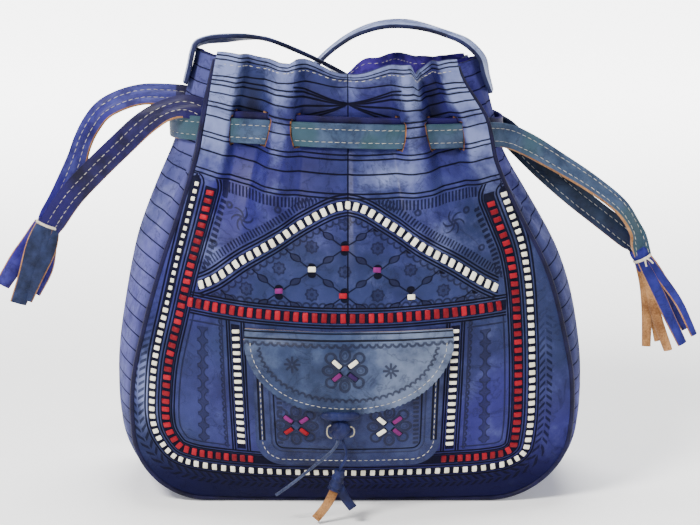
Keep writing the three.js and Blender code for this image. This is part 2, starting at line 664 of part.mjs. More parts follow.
function tasselHead() {
  const sides = 12;
  const ring = (half, thick, z) =>
    Array.from({ length: sides }, (_, k) => {
      const a = (2 * Math.PI * k) / sides;
      return new THREE.Vector3(half * Math.cos(a), thick * Math.sin(a), z);
    });
  const levels = [
    ring(TASSEL.topHalf, TASSEL.topThick, 0),
    ring(TASSEL.topHalf + 0.6, TASSEL.topThick + 0.4, -TIE_THREAD.at + 4),
    ring(TASSEL.topHalf - 1, TASSEL.topThick - 0.6, -TIE_THREAD.at),
    ring(TASSEL.topHalf + 1, TASSEL.topThick + 0.6, -TIE_THREAD.at - 5),
    ring(TASSEL.lowHalf, TASSEL.lowThick, -TASSEL.headLength),
  ];
  const quads = [];
  for (let i = 0; i < levels.length - 1; i += 1) {
    for (let k = 0; k < sides; k += 1) {
      const n = (k + 1) % sides;
      quads.push([(i + 1) * sides + k, (i + 1) * sides + n, i * sides + n, i * sides + k]);
    }
  }
  for (let k = 1; k < sides - 1; k += 1) {
    quads.push([0, k, k + 1]);
    const low = (levels.length - 1) * sides;
    quads.push([low, low + k + 1, low + k]);
  }
  return closed(levels.flat(), quads);
}

function thread() {
  const sides = 14;
  const points = Array.from({ length: sides }, (_, k) => {
    const a = (2 * Math.PI * k) / sides;
    const room = TIE_THREAD.radius + 0.5;
    return new THREE.Vector3(
      (TASSEL.topHalf - 1 + room) * Math.cos(a),
      (TASSEL.topThick - 0.6 + room) * Math.sin(a),
      -TIE_THREAD.at,
    );
  });
  const curve = new THREE.CatmullRomCurve3(points, true);
  const section = new THREE.Shape(roundSection(TIE_THREAD.radius, 5).map(([a, b]) => new THREE.Vector2(a, b)));
  return new THREE.ExtrudeGeometry(section, { steps: 15, extrudePath: curve, bevelEnabled: false });
}

function addTassel(name, strips, place, leanDeg, color) {
  const lean = new THREE.Matrix4().makeRotationY(THREE.MathUtils.degToRad(leanDeg));
  const move = new THREE.Matrix4().makeTranslation(place.x, place.y, place.z).multiply(lean);
  const hanging = joined([tasselHead(), ...strips.map(strip)]).applyMatrix4(move);
  addPiece(`tassel_${name}`, hanging, color);
  addPiece(`tassel_${name}_thread`, thread().applyMatrix4(move), LEATHER.thread, 0.9);
}
addTassel('left', LEFT_STRIPS, { x: -200.4, y: 0, z: 175.6 }, 22, LEATHER.blue);
addTassel('right', RIGHT_STRIPS, { x: 199.6, y: 0, z: 163.5 }, -27, LEATHER.violet);

// Shoulder strap: sewn to both sides of the collar; it arches over and hangs in a loop behind the bag
const SEWN_LEVELS = [275, 286, 297];
const sewnRows = (side) =>
  SEWN_LEVELS.map((z) => {
    const face = body('seamX', z) + gussetPush(0, z) + WALL / 2 + 0.8;
    return { x: side * (face + FIT_GAP + SHOULDER_THICK / 2), y: 0, z, fx: side, fy: 0, fz: 0.15 };
  });
const ARCH_ROUTE = [
  { x: -95, y: 1, z: 301.6, fx: -0.75, fy: 0, fz: 0.65 },
  { x: -88, y: 2, z: 304.6, fx: -0.45, fy: 0, fz: 0.9 },
  { x: -77, y: 4, z: 306, fx: -0.15, fy: 0, fz: 1 },
  { x: -63, y: 8, z: 306, fx: 0.12, fy: 0.1, fz: 1 },
  { x: -50, y: 15, z: 303, fx: 0.3, fy: 0.15, fz: 1 },
  { x: -37, y: 24, z: 297, fx: 0.4, fy: 0.2, fz: 0.9 },
  { x: -20, y: 38, z: 287.5, fx: 0.5, fy: 0.25, fz: 0.8 },
  { x: -2, y: 52, z: 276, fx: 0.6, fy: 0.3, fz: 0.7 },
  { x: 18, y: 64, z: 260, fx: 0.7, fy: 0.4, fz: 0.5 },
  { x: 37, y: 78, z: 230, fx: 0.8, fy: 0.45, fz: 0.25 },
  { x: 48, y: 92, z: 195, fx: 0.85, fy: 0.45, fz: 0.1 },
  { x: 52, y: 102, z: 155, fx: 0.9, fy: 0.35, fz: 0 },
  { x: 47, y: 107, z: 118, fx: 0.85, fy: 0.2, fz: -0.4 },
  { x: 30, y: 110, z: 90, fx: 0.5, fy: 0.1, fz: -0.85 },
  { x: 4, y: 112, z: 80, fx: 0, fy: 0, fz: -1 },
  { x: -22, y: 114, z: 90, fx: -0.5, fy: 0, fz: -0.85 },
  { x: -39, y: 116, z: 118, fx: -0.9, fy: 0, fz: -0.4 },
  { x: -45, y: 117, z: 155, fx: -1, fy: 0, fz: 0 },
  { x: -43, y: 114, z: 195, fx: -1, fy: 0, fz: 0.1 },
  { x: -36, y: 105, z: 232, fx: -0.9, fy: 0, fz: 0.3 },
  { x: -23, y: 91, z: 262, fx: -0.8, fy: 0, fz: 0.5 },
  { x: -6, y: 73, z: 285, fx: -0.65, fy: 0, fz: 0.75 },
  { x: 10, y: 54, z: 300, fx: -0.5, fy: 0, fz: 0.85 },
  { x: 26, y: 34, z: 310, fx: -0.3, fy: 0, fz: 0.95 },
  { x: 43, y: 18, z: 315, fx: -0.05, fy: 0, fz: 1 },
  { x: 60, y: 8, z: 315, fx: 0.15, fy: 0, fz: 1 },
  { x: 75, y: 3, z: 312, fx: 0.35, fy: 0, fz: 0.95 },
  { x: 87, y: 1, z: 307.5, fx: 0.6, fy: 0, fz: 0.8 },
];
const shoulderRoute = [...sewnRows(-1), ...ARCH_ROUTE, ...sewnRows(1).reverse()];
addPiece('shoulder_strap', strap(shoulderRoute, 64, SHOULDER_WIDTH, SHOULDER_THICK), LEATHER.pale);

export default bag;
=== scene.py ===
"""Looks of a gathered leather shoulder bag: tooled, laced walls, sewn straps, tassels and a soft studio."""
import math

import bpy
import numpy as np
from mathutils import Color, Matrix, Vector


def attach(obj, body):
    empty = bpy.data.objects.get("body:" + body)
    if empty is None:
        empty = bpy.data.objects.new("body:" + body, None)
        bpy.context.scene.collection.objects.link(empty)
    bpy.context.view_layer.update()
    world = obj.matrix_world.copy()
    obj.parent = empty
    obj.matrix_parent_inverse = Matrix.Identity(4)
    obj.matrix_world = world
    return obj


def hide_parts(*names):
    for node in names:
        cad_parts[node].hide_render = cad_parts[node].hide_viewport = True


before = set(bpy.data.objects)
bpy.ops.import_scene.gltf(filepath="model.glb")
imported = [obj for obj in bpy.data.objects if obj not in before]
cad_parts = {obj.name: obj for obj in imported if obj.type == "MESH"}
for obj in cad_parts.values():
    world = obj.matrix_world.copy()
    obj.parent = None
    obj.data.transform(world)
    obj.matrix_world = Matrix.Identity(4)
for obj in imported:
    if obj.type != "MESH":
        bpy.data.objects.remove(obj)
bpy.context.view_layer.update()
scene = bpy.context.scene

# Sizes of the bag, in millimetres, as in the part's source
MM = 0.001
WALL = 2.0
POCKET_WALL = 1.6
WELT_RADIUS = 1.7
FIT_GAP = 0.4
SEAM_PLAY = 0.7
SEAM_SETBACK = WELT_RADIUS + SEAM_PLAY
SEAT_DROP = WELT_RADIUS - WALL / 2
BASE_HALF = 94.0
CORNER_RADIUS = 50.0
SEAM_BOTTOM = WELT_RADIUS
CORNER_TOP = SEAM_BOTTOM + CORNER_RADIUS
NECK_Z = 250.0
RIM_Z = 300.0
GATHER_START_Z = 160.0
GATHER_FULL_Z = 240.0
COLLAR_SPREAD = 0.25
RING_HALF_X = 111.0
RING_HALF_Y = 45.0
LEAN = -6.5
TILT = 0.03
SWAY_START_Z = 120.0
BODY = {
    "z": (0, 15, 40, 80, 120, 160, 200, 232, 250, 275, 300),
    "seam_x": (94, 128, 142, 144, 136, 124.5, 110, 99.5, 96, 91, 85.5),
    "seam_y": (52, 52, 53, 53, 51, 47, 41, 35, 33, 33, 34),
    "belly": (0, 12, 25, 35, 38, 36, 27, 18, 13, 13, 14),
    "swell": (0, 3.5, 8.5, 11, 15, 17, 16, 13, 12, 11, 11),
    "shove": (0, 2, 4.5, 6, 7.5, 8, 3.6, 0, 0, 0, 0),
}
SHOVE_FROM_X = 50.0
SHOVE_OVER = 70.0
PINCH = -13.0
PINCH_START_Z = 256.0
PINCH_OVER_Z = 40.0
PINCH_FROM_X = 36.0
PINCH_OVER_X = 48.0
PINCH_HALF_Y = 34.0
DROOP_LEFT = 9.0
DROOP_RIGHT = 4.0
DROOP_START_Z = 270.0
DROOP_OVER_Z = 26.0
DROOP_HALF_Y = 30.0
DROOP_FROM_X = 45.0
DROOP_OVER_X = 38.0
PANEL_FOLDS = (
    (0, -5.2), (0.31, -5.2), (0.45, 5.2), (0.52, 5.2), (0.63, -5.2), (0.76, -5.2), (0.87, 6.2), (0.93, 7.2),
    (1, 9.9),
)
GUSSET_FOLDS = ((0, 8.8), (0.3, 6), (0.62, -3.8), (0.8, -1), (1, 0))
FRONT_RIM = ((-1, 52), (-0.47, 47), (-0.4, 51), (0, 39.5), (0.48, 50), (0.55, 41.5), (0.83, 50.5), (1, 52))
BACK_RIM = ((-1, 46), (-0.62, 31), (-0.03, 20), (0.25, 37), (0.8, 43), (1, 47))
FRONT = -1
BACK = 1

# Soft detail that the solids leave out: pleats of the collar, a crease down the middle, slow unevenness
COLLAR_PLEATS = (
    (-1, 0), (-0.72, 2.2), (-0.48, -3.8), (-0.4, 4.6), (-0.15, 1.6), (0, -3.2), (0.15, 1.6), (0.47, 4.6),
    (0.55, -3.8), (0.82, 2.6), (0.87, -0.8), (1, 0),
)
PLEAT_START_Z = 258.0
PLEAT_FULL_Z = 292.0
CREASE_DEPTH = 1.3
CREASE_HALF = 2.6
CREASE_START_Z = 140.0
CREASE_OVER_Z = 40.0
UNEVEN = 0.8

# Slow waves of the leather: share, turn for each millimetre across and up, start
UNEVEN_WAVES = ((0.5, 0.052, 0.031, 0.6), (0.35, 0.083, -0.047, 2.0), (0.25, 0.127, 0.09, 4.1))
SHORTEST = 1e-9
CLOSEST_KNOTS = 1e-4


def ease(t):
    t = np.clip(t, 0, 1)
    return t * t * (3 - 2 * t)


def blend(t, first, second, first_slope, second_slope):
    """A smooth way from one value to the next, with given slopes at both ends."""
    rise = 3 * t ** 2 - 2 * t ** 3
    start = t ** 3 - 2 * t ** 2 + t
    end = t ** 3 - t ** 2
    return (1 - rise) * first + rise * second + start * first_slope + end * second_slope


def through(keys, values, at):
    """A smooth curve through a table's columns."""
    keys = np.asarray(keys, float)
    values = np.asarray(values, float)
    at = np.clip(np.asarray(at, float), keys[0], keys[-1])
    last = len(keys) - 1
    row = np.clip(np.searchsorted(keys, at, side="left") - 1, 0, last - 1)
    span = keys[row + 1] - keys[row]
    t = (at - keys[row]) / span

    def slope(knot):
        low = np.maximum(knot - 1, 0)
        high = np.minimum(knot + 1, last)
        return (values[high] - values[low]) / (keys[high] - keys[low]) * span

    return blend(t, values[row], values[row + 1], slope(row), slope(row + 1))


def folds(rows, at):
    """Flat stretches joined by soft steps."""
    keys, lifts = np.array(rows, float).T
    at = np.clip(np.asarray(at, float), keys[0], keys[-1])
    row = np.clip(np.searchsorted(keys, at, side="left") - 1, 0, len(keys) - 2)
    t = ease((at - keys[row]) / (keys[row + 1] - keys[row]))
    return lifts[row] + (lifts[row + 1] - lifts[row]) * t


def body(column, z):
    return through(BODY["z"], BODY[column], z)


def gather(z):
    low = ease((z - GATHER_START_Z) / (GATHER_FULL_Z - GATHER_START_Z))
    return low + COLLAR_SPREAD * ease((z - NECK_Z) / (RIM_Z - NECK_Z))


def outline_half(z, setback):
    """Half-width of the U outline at a height, taken in by a setback."""
    reach = np.sqrt(np.maximum(0, (CORNER_RADIUS - setback) ** 2 - (CORNER_TOP - z) ** 2))
    drift = body("seam_x", CORNER_TOP) - (BASE_HALF + CORNER_RADIUS)
    low = BASE_HALF + reach + drift * ease((z - SEAM_BOTTOM) / CORNER_RADIUS)
    return np.where(z >= CORNER_TOP, body("seam_x", z) - setback, low)


def rim_height(rim, u):
    return NECK_Z + folds(rim, u)


def soft_lift(u, level):
    """How far the leather stands out beyond the plain folds."""
    x = u * outline_half(level, SEAM_SETBACK)
    waves = sum(
        share * np.sin(turn_across * x + turn_up * level + begin)
        for share, turn_across, turn_up, begin in UNEVEN_WAVES
    )
    pleats = folds(COLLAR_PLEATS, u) * ease((level - PLEAT_START_Z) / (PLEAT_FULL_Z - PLEAT_START_Z))
    crease = CREASE_DEPTH * np.exp(-((x / CREASE_HALF) ** 2))
    crease = crease * ease((level - CREASE_START_Z) / CREASE_OVER_Z)
    return UNEVEN * waves * (1 - u ** 4) + pleats - crease


def panel_depth(u, z):
    """How far a panel's middle layer stands from the bag's middle plane."""

    def plain(level):
        return body("seam_y", level) + body("belly", level) * (1 - u * u)

    neck_x = u * (body("seam_x", NECK_Z) - SEAM_SETBACK)
    ring = RING_HALF_Y * np.sqrt(np.maximum(0, 1 - (neck_x / RING_HALF_X) ** 2))
    neck = ring + folds(PANEL_FOLDS, np.abs(u))
    return plain(z) + gather(z) * (neck - plain(NECK_Z))


def panel_point(u, level, side):
    """A point of the front or back panel; level runs from the base to RIM_Z."""
    u, level = np.broadcast_arrays(np.asarray(u, float), np.asarray(level, float))
    x = u * outline_half(level, SEAM_SETBACK)
    collar = np.clip((level - NECK_Z) / (RIM_Z - NECK_Z), 0, 1)
    rim = rim_height(FRONT_RIM if side == FRONT else BACK_RIM, u)
    z = level + collar ** 2 * (rim - RIM_Z)
    return np.stack([x, side * (panel_depth(u, level) + soft_lift(u, level)), z], -1)


def unit(vectors):
    return vectors / np.maximum(np.linalg.norm(vectors, axis=-1, keepdims=True), SHORTEST)


SMALL_STEP = 0.004


def panel_normal(u, level, side):
    across = panel_point(u + SMALL_STEP, level, side) - panel_point(u - SMALL_STEP, level, side)
    up = panel_point(u, level + 1, side) - panel_point(u, level - 1, side)
    return unit(np.cross(across, up)) * -side


def on_front(x, z, away):
    """A point in front of the front panel, at a place given in the front view."""
    x, z = np.broadcast_arrays(np.asarray(x, float), np.asarray(z, float))
    u = x / outline_half(z, SEAM_SETBACK)
    return panel_point(u, z, FRONT) + panel_normal(u, z, FRONT) * np.asarray(away)[..., None]


def sway(points):
    """The neck leans and tilts, the front is shoved and pinched on its right, and the back corners droop."""
    x, y, z = np.moveaxis(np.asarray(points, float), -1, 0)
    share = ease((z - SWAY_START_Z) / (NECK_Z - SWAY_START_Z))
    tilted = z - TILT * x * share * np.clip(2 - np.abs(x) / RING_HALF_X, 0, 1)
    lean = LEAN * share * ease(1 + y / RING_HALF_Y)
    shove = body("shove", z) * ease((x - SHOVE_FROM_X) / SHOVE_OVER) * np.clip(-y / RING_HALF_Y, 0, 1)
    pinch = PINCH * ease((z - PINCH_START_Z) / PINCH_OVER_Z) * ease((x - PINCH_FROM_X) / PINCH_OVER_X)
    pinch = pinch * np.clip(-y / PINCH_HALF_Y, 0, 1)
    droop = np.where(x < 0, DROOP_LEFT, DROOP_RIGHT) * ease((z - DROOP_START_Z) / DROOP_OVER_Z)
    droop = droop * ease(y / DROOP_HALF_Y) * ease((np.abs(x) - DROOP_FROM_X) / DROOP_OVER_X)
    return np.stack([x + lean + shove + pinch, y, tilted - droop], -1)


def gusset_push(s, z):
    """The side's outward push across the gusset; s runs from the front seam to the back one."""

    def plain(level):
        return body("swell", level) * (1 - s * s)

    neck = folds(GUSSET_FOLDS, np.abs(s))
    return SEAT_DROP + plain(z) + gather(z) * (neck - plain(NECK_Z))


# Pattern places on the front: x as seen from the front, and a height that bows as the tooled lines do
BOW_LOW = 6.5
BOW_MORE = 5.5
BOW_START_Z = 145.0
BOW_OVER_Z = 65.0
BOW_FADE = 0.85
BOW_FADE_OVER_Z = 40.0
FINDING_ROUNDS = 14


def bow(level):
    rising = BOW_LOW + BOW_MORE * ease((level - BOW_START_Z) / BOW_OVER_Z)
    return rising * (1 - BOW_FADE * ease((level - NECK_Z) / BOW_FADE_OVER_Z))


def pattern_height(u, level):
    return level + bow(level) * (1 - u * u)


def find_on_front(x, height):
    """The panel's own u and level at pattern places."""
    x, height = np.broadcast_arrays(np.asarray(x, float), np.asarray(height, float))
    own_x = x.copy()
    level = height.copy()
    for _ in range(FINDING_ROUNDS):
        u = np.clip(own_x / outline_half(level, SEAM_SETBACK), -1, 1)
        level = height - bow(level) * (1 - u * u)
        own_x = own_x + x - sway(panel_point(u, level, FRONT))[..., 0]
    return u, level


def spline(knots, count):
    """Points spread along a smooth curve through the knots."""
    knots = np.asarray(knots, float)
    padded = np.concatenate([2 * knots[:1] - knots[1:2], knots, 2 * knots[-1:] - knots[-2:-1]])
    spots = np.linspace(0, len(knots) - 1, count)
    seg = np.minimum(spots.astype(int), len(knots) - 2)
    t = (spots - seg)[:, None]
    before, first, second, after = (padded[seg + k] for k in range(4))

    def gap(one, other):
        return np.sqrt(np.linalg.norm(other - one, axis=-1, keepdims=True))

    def open_gap(one, other, instead):
        between = gap(one, other)
        return np.where(between < CLOSEST_KNOTS, instead, between)

    span = open_gap(first, second, 1)
    span_before = open_gap(before, first, span)
    span_after = open_gap(second, after, span)
    step = (second - first) / span
    first_slope = (first - before) / span_before - (second - before) / (span_before + span) + step
    second_slope = step - (after - first) / (span + span_after) + (after - second) / span_after
    return blend(t, first, second, first_slope * span, second_slope * span)


def lengths_along(points):
    steps = np.linalg.norm(np.diff(points, axis=0), axis=-1)
    return np.concatenate([[0], np.cumsum(steps)])


# Shader trees


class Value:
    """A socket of a shader tree that takes part in arithmetic."""

    def __init__(self, tree, socket):
        self.tree = tree
        self.socket = socket

    def math(self, operation, *others):
        return self.tree.math(operation, self, *others)

    def __add__(self, other):
        return self.math("ADD", other)

    def __sub__(self, other):
        return self.math("SUBTRACT", other)

    def __rsub__(self, other):
        return self.tree.math("SUBTRACT", other, self)

    def __mul__(self, other):
        return self.math("MULTIPLY", other)

    def __truediv__(self, other):
        return self.math("DIVIDE", other)

    def __abs__(self):
        return self.math("ABSOLUTE")

    __radd__ = __add__
    __rmul__ = __mul__


class Tree:
    """A node tree that is built node by node."""

    def __init__(self, tree):
        self.tree = tree

    def node(self, kind, settings, inputs, output=0):
        made = self.tree.nodes.new(kind)
        for key, value in settings.items():
            setattr(made, key, value)
        for key, value in inputs.items():
            if isinstance(value, Value):
                self.tree.links.new(value.socket, made.inputs[key])
            else:
                made.inputs[key].default_value = value
        return Value(self, made.outputs[output]) if made.outputs else None

    def math(self, operation, *values):
        return self.node("ShaderNodeMath", {"operation": operation}, dict(enumerate(values)))

    def parts(self, vector):
        """The three parts of a vector."""
        separate = self.node("ShaderNodeSeparateXYZ", {}, {0: vector}).socket.node
        return [Value(self, socket) for socket in separate.outputs]


FLOOR_GLOW = 5.0
GLOSS = 0.16
COAT_ROUGHNESS = 0.28
NEAR_SOFT = 0.35
EDGE_SOFT = 0.4
MIX_FIRST = 6
MIX_SECOND = 7
MIX_RESULT = 2
BLACK = (0, 0, 0, 1)
WHITE = (1, 1, 1, 1)


class Paint(Tree):
    """One material and its node tree."""

    def __init__(self, name):
        self.material = bpy.data.materials.new(name)
        self.material.use_nodes = True
        super().__init__(self.material.node_tree)
        self.tree.nodes.clear()

    def spread(self, value, low, high, at_low=0.0, at_high=1.0):
        """A soft change from one amount to another, while value goes from low to high."""
        inputs = dict(enumerate((value, low, high, at_low, at_high)))
        return self.node("ShaderNodeMapRange", {"interpolation_type": "SMOOTHSTEP"}, inputs)

    def near(self, value, half, soft=NEAR_SOFT):
        """1 within half of zero, falling to 0."""
        return self.spread(abs(value), half, half + soft, 1.0, 0.0)

    def over(self, value, edge, soft=EDGE_SOFT):
        """1 where value is over the edge."""
        return self.spread(value, edge - soft, edge + soft)

    def under(self, value, edge):
        return 1.0 - self.over(value, edge)

    def between(self, value, low, high):
        return self.near(value - (low + high) / 2, (high - low) / 2, EDGE_SOFT)

    def lines(self, value, rows):
        """Tooled lines from rows: value, gap of a double line or 0 for a single one, half-width."""
        masks = []
        for at, gap, half in rows:
            offset = value - at
            masks.append(self.near(abs(offset) - gap / 2 if gap else offset, half))
        return self.most(*masks)

    def repeat(self, value, pitch):
        """The signed distance to the nearest of evenly spaced places."""
        return self.math("WRAP", value, pitch / 2, -pitch / 2)

    def bars(self, run, pitch, half, soft=NEAR_SOFT):
        """Evenly spaced bars across a run."""
        return self.near(self.repeat(run, pitch), half, soft)

    def reach(self, across, along):
        return (across * across + along * along).math("SQRT")

    def ring(self, across, along, radius, half):
        return self.near(self.reach(across, along) - radius, half)

    def rays(self, across, up, count, half, soft=NEAR_SOFT, twist=0.0):
        """Evenly turned rays from a middle, and the distance from it."""
        out = self.reach(across, up)
        turn = self.math("ARCTAN2", up, across) + out * twist
        return self.near(self.repeat(turn, 2 * math.pi / count) * out, half, soft), out

    def most(self, *masks):
        result = masks[0]
        for mask in masks[1:]:
            result = result.math("MAXIMUM", mask)
        return result

    def mix(self, factor, first, second):
        settings = {"data_type": "RGBA", "blend_type": "MIX"}
        inputs = {"Factor": factor, MIX_FIRST: first, MIX_SECOND: second}
        return self.node("ShaderNodeMix", settings, inputs, MIX_RESULT)

    def place(self):
        return self.node("ShaderNodeTexCoord", {}, {}, "Object")

    def attribute(self, name):
        """The three parts of a vector kept on the mesh."""
        return self.parts(self.node("ShaderNodeAttribute", {"attribute_name": name}, {}, "Vector"))

    def number(self, name):
        return self.node("ShaderNodeAttribute", {"attribute_name": name}, {}, "Fac")

    def noise(self, place, scale, detail=3.0, rough=0.55, warp=0.0):
        inputs = {"Vector": place, "Scale": scale, "Detail": detail, "Roughness": rough, "Distortion": warp}
        return self.node("ShaderNodeTexNoise", {}, inputs)

    def cells(self, place, scale):
        inputs = {"Vector": place, "Scale": scale}
        return self.node("ShaderNodeTexVoronoi", {"feature": "DISTANCE_TO_EDGE"}, inputs)

    def finish(self, colour, roughness, height, depth, coat=0.0, sheen=0.0, glow=None, gloss=GLOSS):
        normal = self.node("ShaderNodeBump", {}, {"Strength": 1.0, "Distance": depth, "Height": height})
        inputs = {
            "Base Color": colour,
            "Roughness": roughness,
            "Normal": normal,
            "Specular IOR Level": gloss,
            "Coat Weight": coat,
            "Coat Roughness": COAT_ROUGHNESS,
            "Sheen Weight": sheen,
            "Emission Color": glow or BLACK,
            "Emission Strength": FLOOR_GLOW if glow else 0.0,
        }
        shader = self.node("ShaderNodeBsdfPrincipled", {}, inputs)
        self.node("ShaderNodeOutputMaterial", {}, {"Surface": shader})
        return self.material


SCREEN_FULL = 255


def screen(*tones):
    """A colour as it looks on a screen: red, green and blue from 0 to 255."""
    colour = Color([tone / SCREEN_FULL for tone in tones]).from_srgb_to_scene_linear()
    return (*colour, 1.0)


# Tones of the leathers: deep, middle and pale
FRONT_TONES = ((29, 30, 74), (50, 53, 110), (118, 128, 174))
BACK_TONES = ((21, 23, 72), (39, 44, 110), (86, 96, 150))
GUSSET_TONES = ((57, 55, 112), (92, 93, 156), (134, 140, 184))
FLAP_TONES = ((27, 37, 64), (44, 58, 92), (106, 118, 144))
POCKET_TONES = ((19, 25, 58), (34, 42, 86), (72, 84, 122))
TOOLED = screen(6, 6, 18)
STAMPED = screen(14, 15, 40)
# Dark lanes under the lacing: a darker channel, and painted shade of the slits between the laces
LANE_AND_SLIT_SHADE = screen(9, 9, 26)
SLATE = screen(36, 48, 76)
VIOLET = screen(36, 30, 108)
SHADOW = screen(11, 12, 32)
# Painted shade low on the front, darker towards the foot
FOOT_SHADE = screen(10, 7, 44)
TAN_EDGE = screen(140, 94, 54)

# Noises: scale, detail, roughness and warp
BROAD_NOISE = (15.0, 4.0, 0.6)
PATCH_NOISE = (80.0, 5.0, 0.62)
SLOW_NOISE = (9.0, 2.0, 0.5)
WRINKLE_NOISE = (30.0, 6.0, 0.6, 1.4)
WEAR_NOISE = (42.0, 4.0, 0.6)
STAIN_NOISE = (21.0, 2.0)
FIBRE_NOISE = (900.0, 4.0, 0.7, 0.6)
FLESH_NOISE = (60.0, 4.0)
FLOOR_NOISE = (40.0, 3.0)

# Waxed leather: shares, ranges and amounts of its tones, and heights of its grain
BROAD_SHARE = 0.6
PATCH_SHARE = 0.4
TONE_RANGE = (0.36, 0.62)
SLATE_RANGE = (0.4, 0.56)
VIOLET_RANGE = (0.5, 0.66)
HOLLOW_SHADE = 0.8
RUB_PATCH = 0.9
RUB_AND_HIGHLIGHT_RANGE = (0.45, 1.25)
LEATHER_ROUGHNESS = 0.4
PATCH_ROUGHNESS = 0.2
GRAIN = 1350.0
PORE_HALF = 0.02
PORE_SOFT = 0.09
WRINKLE_LEVEL = 0.5
WRINKLE_HALF = 0.003
WRINKLE_SOFT = 0.012
WRINKLE_SHADE = 0.3
PATCH_HEIGHT = 0.6
PORE_HEIGHT = 0.25
WRINKLE_HEIGHT = 0.5
STAMP_TONE = 0.74
TOOL_TONE = 0.94
STAMP_HEIGHT = 1.4
TOOL_HEIGHT = 1.5
LANE_HEIGHT = 0.8
DULLNESS = 0.4
WAX = 0.06
TOOLED_DEPTH = 0.0006
PLAIN_DEPTH = 0.0005
SUEDE_DEPTH = 0.0003
FLOOR_DEPTH = 0.0001


def mottled(paint, tones, wear_and_shading, roughness=LEATHER_ROUGHNESS, drift=0.0):
    """Waxed leather: its colour, roughness and grain height before any tooling."""
    deep, middle, pale = (screen(*tone) for tone in tones)
    place = paint.place()
    broad = paint.noise(place, *BROAD_NOISE)
    patch = paint.noise(place, *PATCH_NOISE)
    slow = paint.noise(place, *SLOW_NOISE)
    hue = paint.mix(paint.spread(broad * BROAD_SHARE + patch * PATCH_SHARE, *TONE_RANGE), deep, middle)
    hue = paint.mix(paint.spread(slow, *SLATE_RANGE, drift, 0.0), hue, SLATE)
    hue = paint.mix(paint.spread(slow, *VIOLET_RANGE, 0.0, drift), hue, VIOLET)
    # The first mix is painted shade where the panels' marks go below zero; the second mixes in the pale tone
    # for rubbed wear and, on the panels, painted highlights
    hue = paint.mix(paint.spread(0.0 - wear_and_shading, 0.0, 1.0, 0.0, HOLLOW_SHADE), hue, SHADOW)
    hue = paint.mix(paint.spread(wear_and_shading + patch * RUB_PATCH, *RUB_AND_HIGHLIGHT_RANGE), hue, pale)
    pores = paint.near(paint.cells(place, GRAIN), PORE_HALF, PORE_SOFT)
    wrinkles = paint.near(paint.noise(place, *WRINKLE_NOISE) - WRINKLE_LEVEL, WRINKLE_HALF, WRINKLE_SOFT)
    hue = paint.mix(wrinkles * WRINKLE_SHADE, hue, STAMPED)
    height = patch * PATCH_HEIGHT - pores * PORE_HEIGHT - wrinkles * WRINKLE_HEIGHT
    return hue, roughness + patch * PATCH_ROUGHNESS, height


def tooled_finish(paint, leather, tool, stamp=0.0, lane=0.0, matt=0.0, coat=WAX, gloss=GLOSS):
    """Leather with dark tooled lines, softer pressed stamps, and dark lanes under the lacing."""
    hue, rough, height = leather
    hue = paint.mix(stamp * STAMP_TONE, hue, STAMPED)
    hue = paint.mix(tool * TOOL_TONE, hue, TOOLED)
    hue = paint.mix(lane * TOOL_TONE, hue, LANE_AND_SLIT_SHADE)
    height = height - stamp * STAMP_HEIGHT - tool * TOOL_HEIGHT - lane * LANE_HEIGHT
    dull = paint.most(tool, lane, matt)
    rough = rough + dull * DULLNESS
    return paint.finish(hue, rough, height, TOOLED_DEPTH, coat=(1.0 - dull) * coat, gloss=gloss)


# Crosses of four laces: their middles, petals on the axes, discs between them and lanes under the laces
FLAP_CROSS = (-2.0, 104.0)
LEFT_CROSS = (-33.6, 64.5)
RIGHT_CROSS = (27.0, 64.0)
PETAL_OUT = 10.0
PETAL_SQUEEZE = 0.8
PETAL_RADIUS = 3.0
PETAL_RIM = 0.6
PETAL_EYE_RADIUS = 1.2
PETAL_EYE_RIM = 0.3
PETAL_EYE_TONE = 0.6
DISC_X = 8.8
DISC_Z = 8.0
DISC_RADIUS = 3.2
ARM_ACROSS = 0.77
ARM_UP = 0.64
ARM_LANE_HALF = 1.6
ARM_LANE_SPAN = (2.6, 10.2)
ARM_EDGE = 2.6
ARM_EDGE_HALF = 0.4
ARM_EDGE_SPAN = (1.6, 11.0)


def cross_stamps(paint, x, z, middle):
    """Petals and discs of a cross, and the dark lanes of its laces."""
    across = abs(x - middle[0])
    up = abs(z - middle[1])
    far = across.math("MAXIMUM", up)
    close = across.math("MINIMUM", up)
    petal = paint.reach((far - PETAL_OUT) * PETAL_SQUEEZE, close)
    petals = paint.near(petal - PETAL_RADIUS, PETAL_RIM)
    eyes = paint.near(petal - PETAL_EYE_RADIUS, PETAL_EYE_RIM) * PETAL_EYE_TONE
    discs = paint.ring(across - DISC_X, up - DISC_Z, DISC_RADIUS, PETAL_RIM)
    out = across * ARM_ACROSS + up * ARM_UP
    aside = across * ARM_UP - up * ARM_ACROSS
    lane = paint.near(aside, ARM_LANE_HALF) * paint.between(out, *ARM_LANE_SPAN)
    edge = paint.near(abs(aside) - ARM_EDGE, ARM_EDGE_HALF) * paint.between(out, *ARM_EDGE_SPAN)
    return paint.most(petals, eyes, discs, edge), lane


# The front's laced rows: places, half-widths of their lanes, and how far they reach
LANE_HALF = 2.7
RED_LANE_HALF = 3.2
RED_INSET = 9.3
RED_LANE_TOP = 215.5
PATTERN_TOP = 221.5
INSIDE_BORDER = 12.8
GABLE_LANE_REACH = 98.5
GABLE_LINE_REACH = 99.0
ROW_V = 143.0
ROW_UPPER = 149.4
ROW_LOWER = 137.0
ROW_REACH = 104.0
COLUMN_MIDDLE = -1.6
COLUMN_X = 69.0
COLUMN_LEAN = 0.039
COLUMN_FOOT = 50.0
COLUMN_LANE_SPAN = (48.5, 134.0)
COLUMN_LINE_SPAN = (47.0, 136.0)

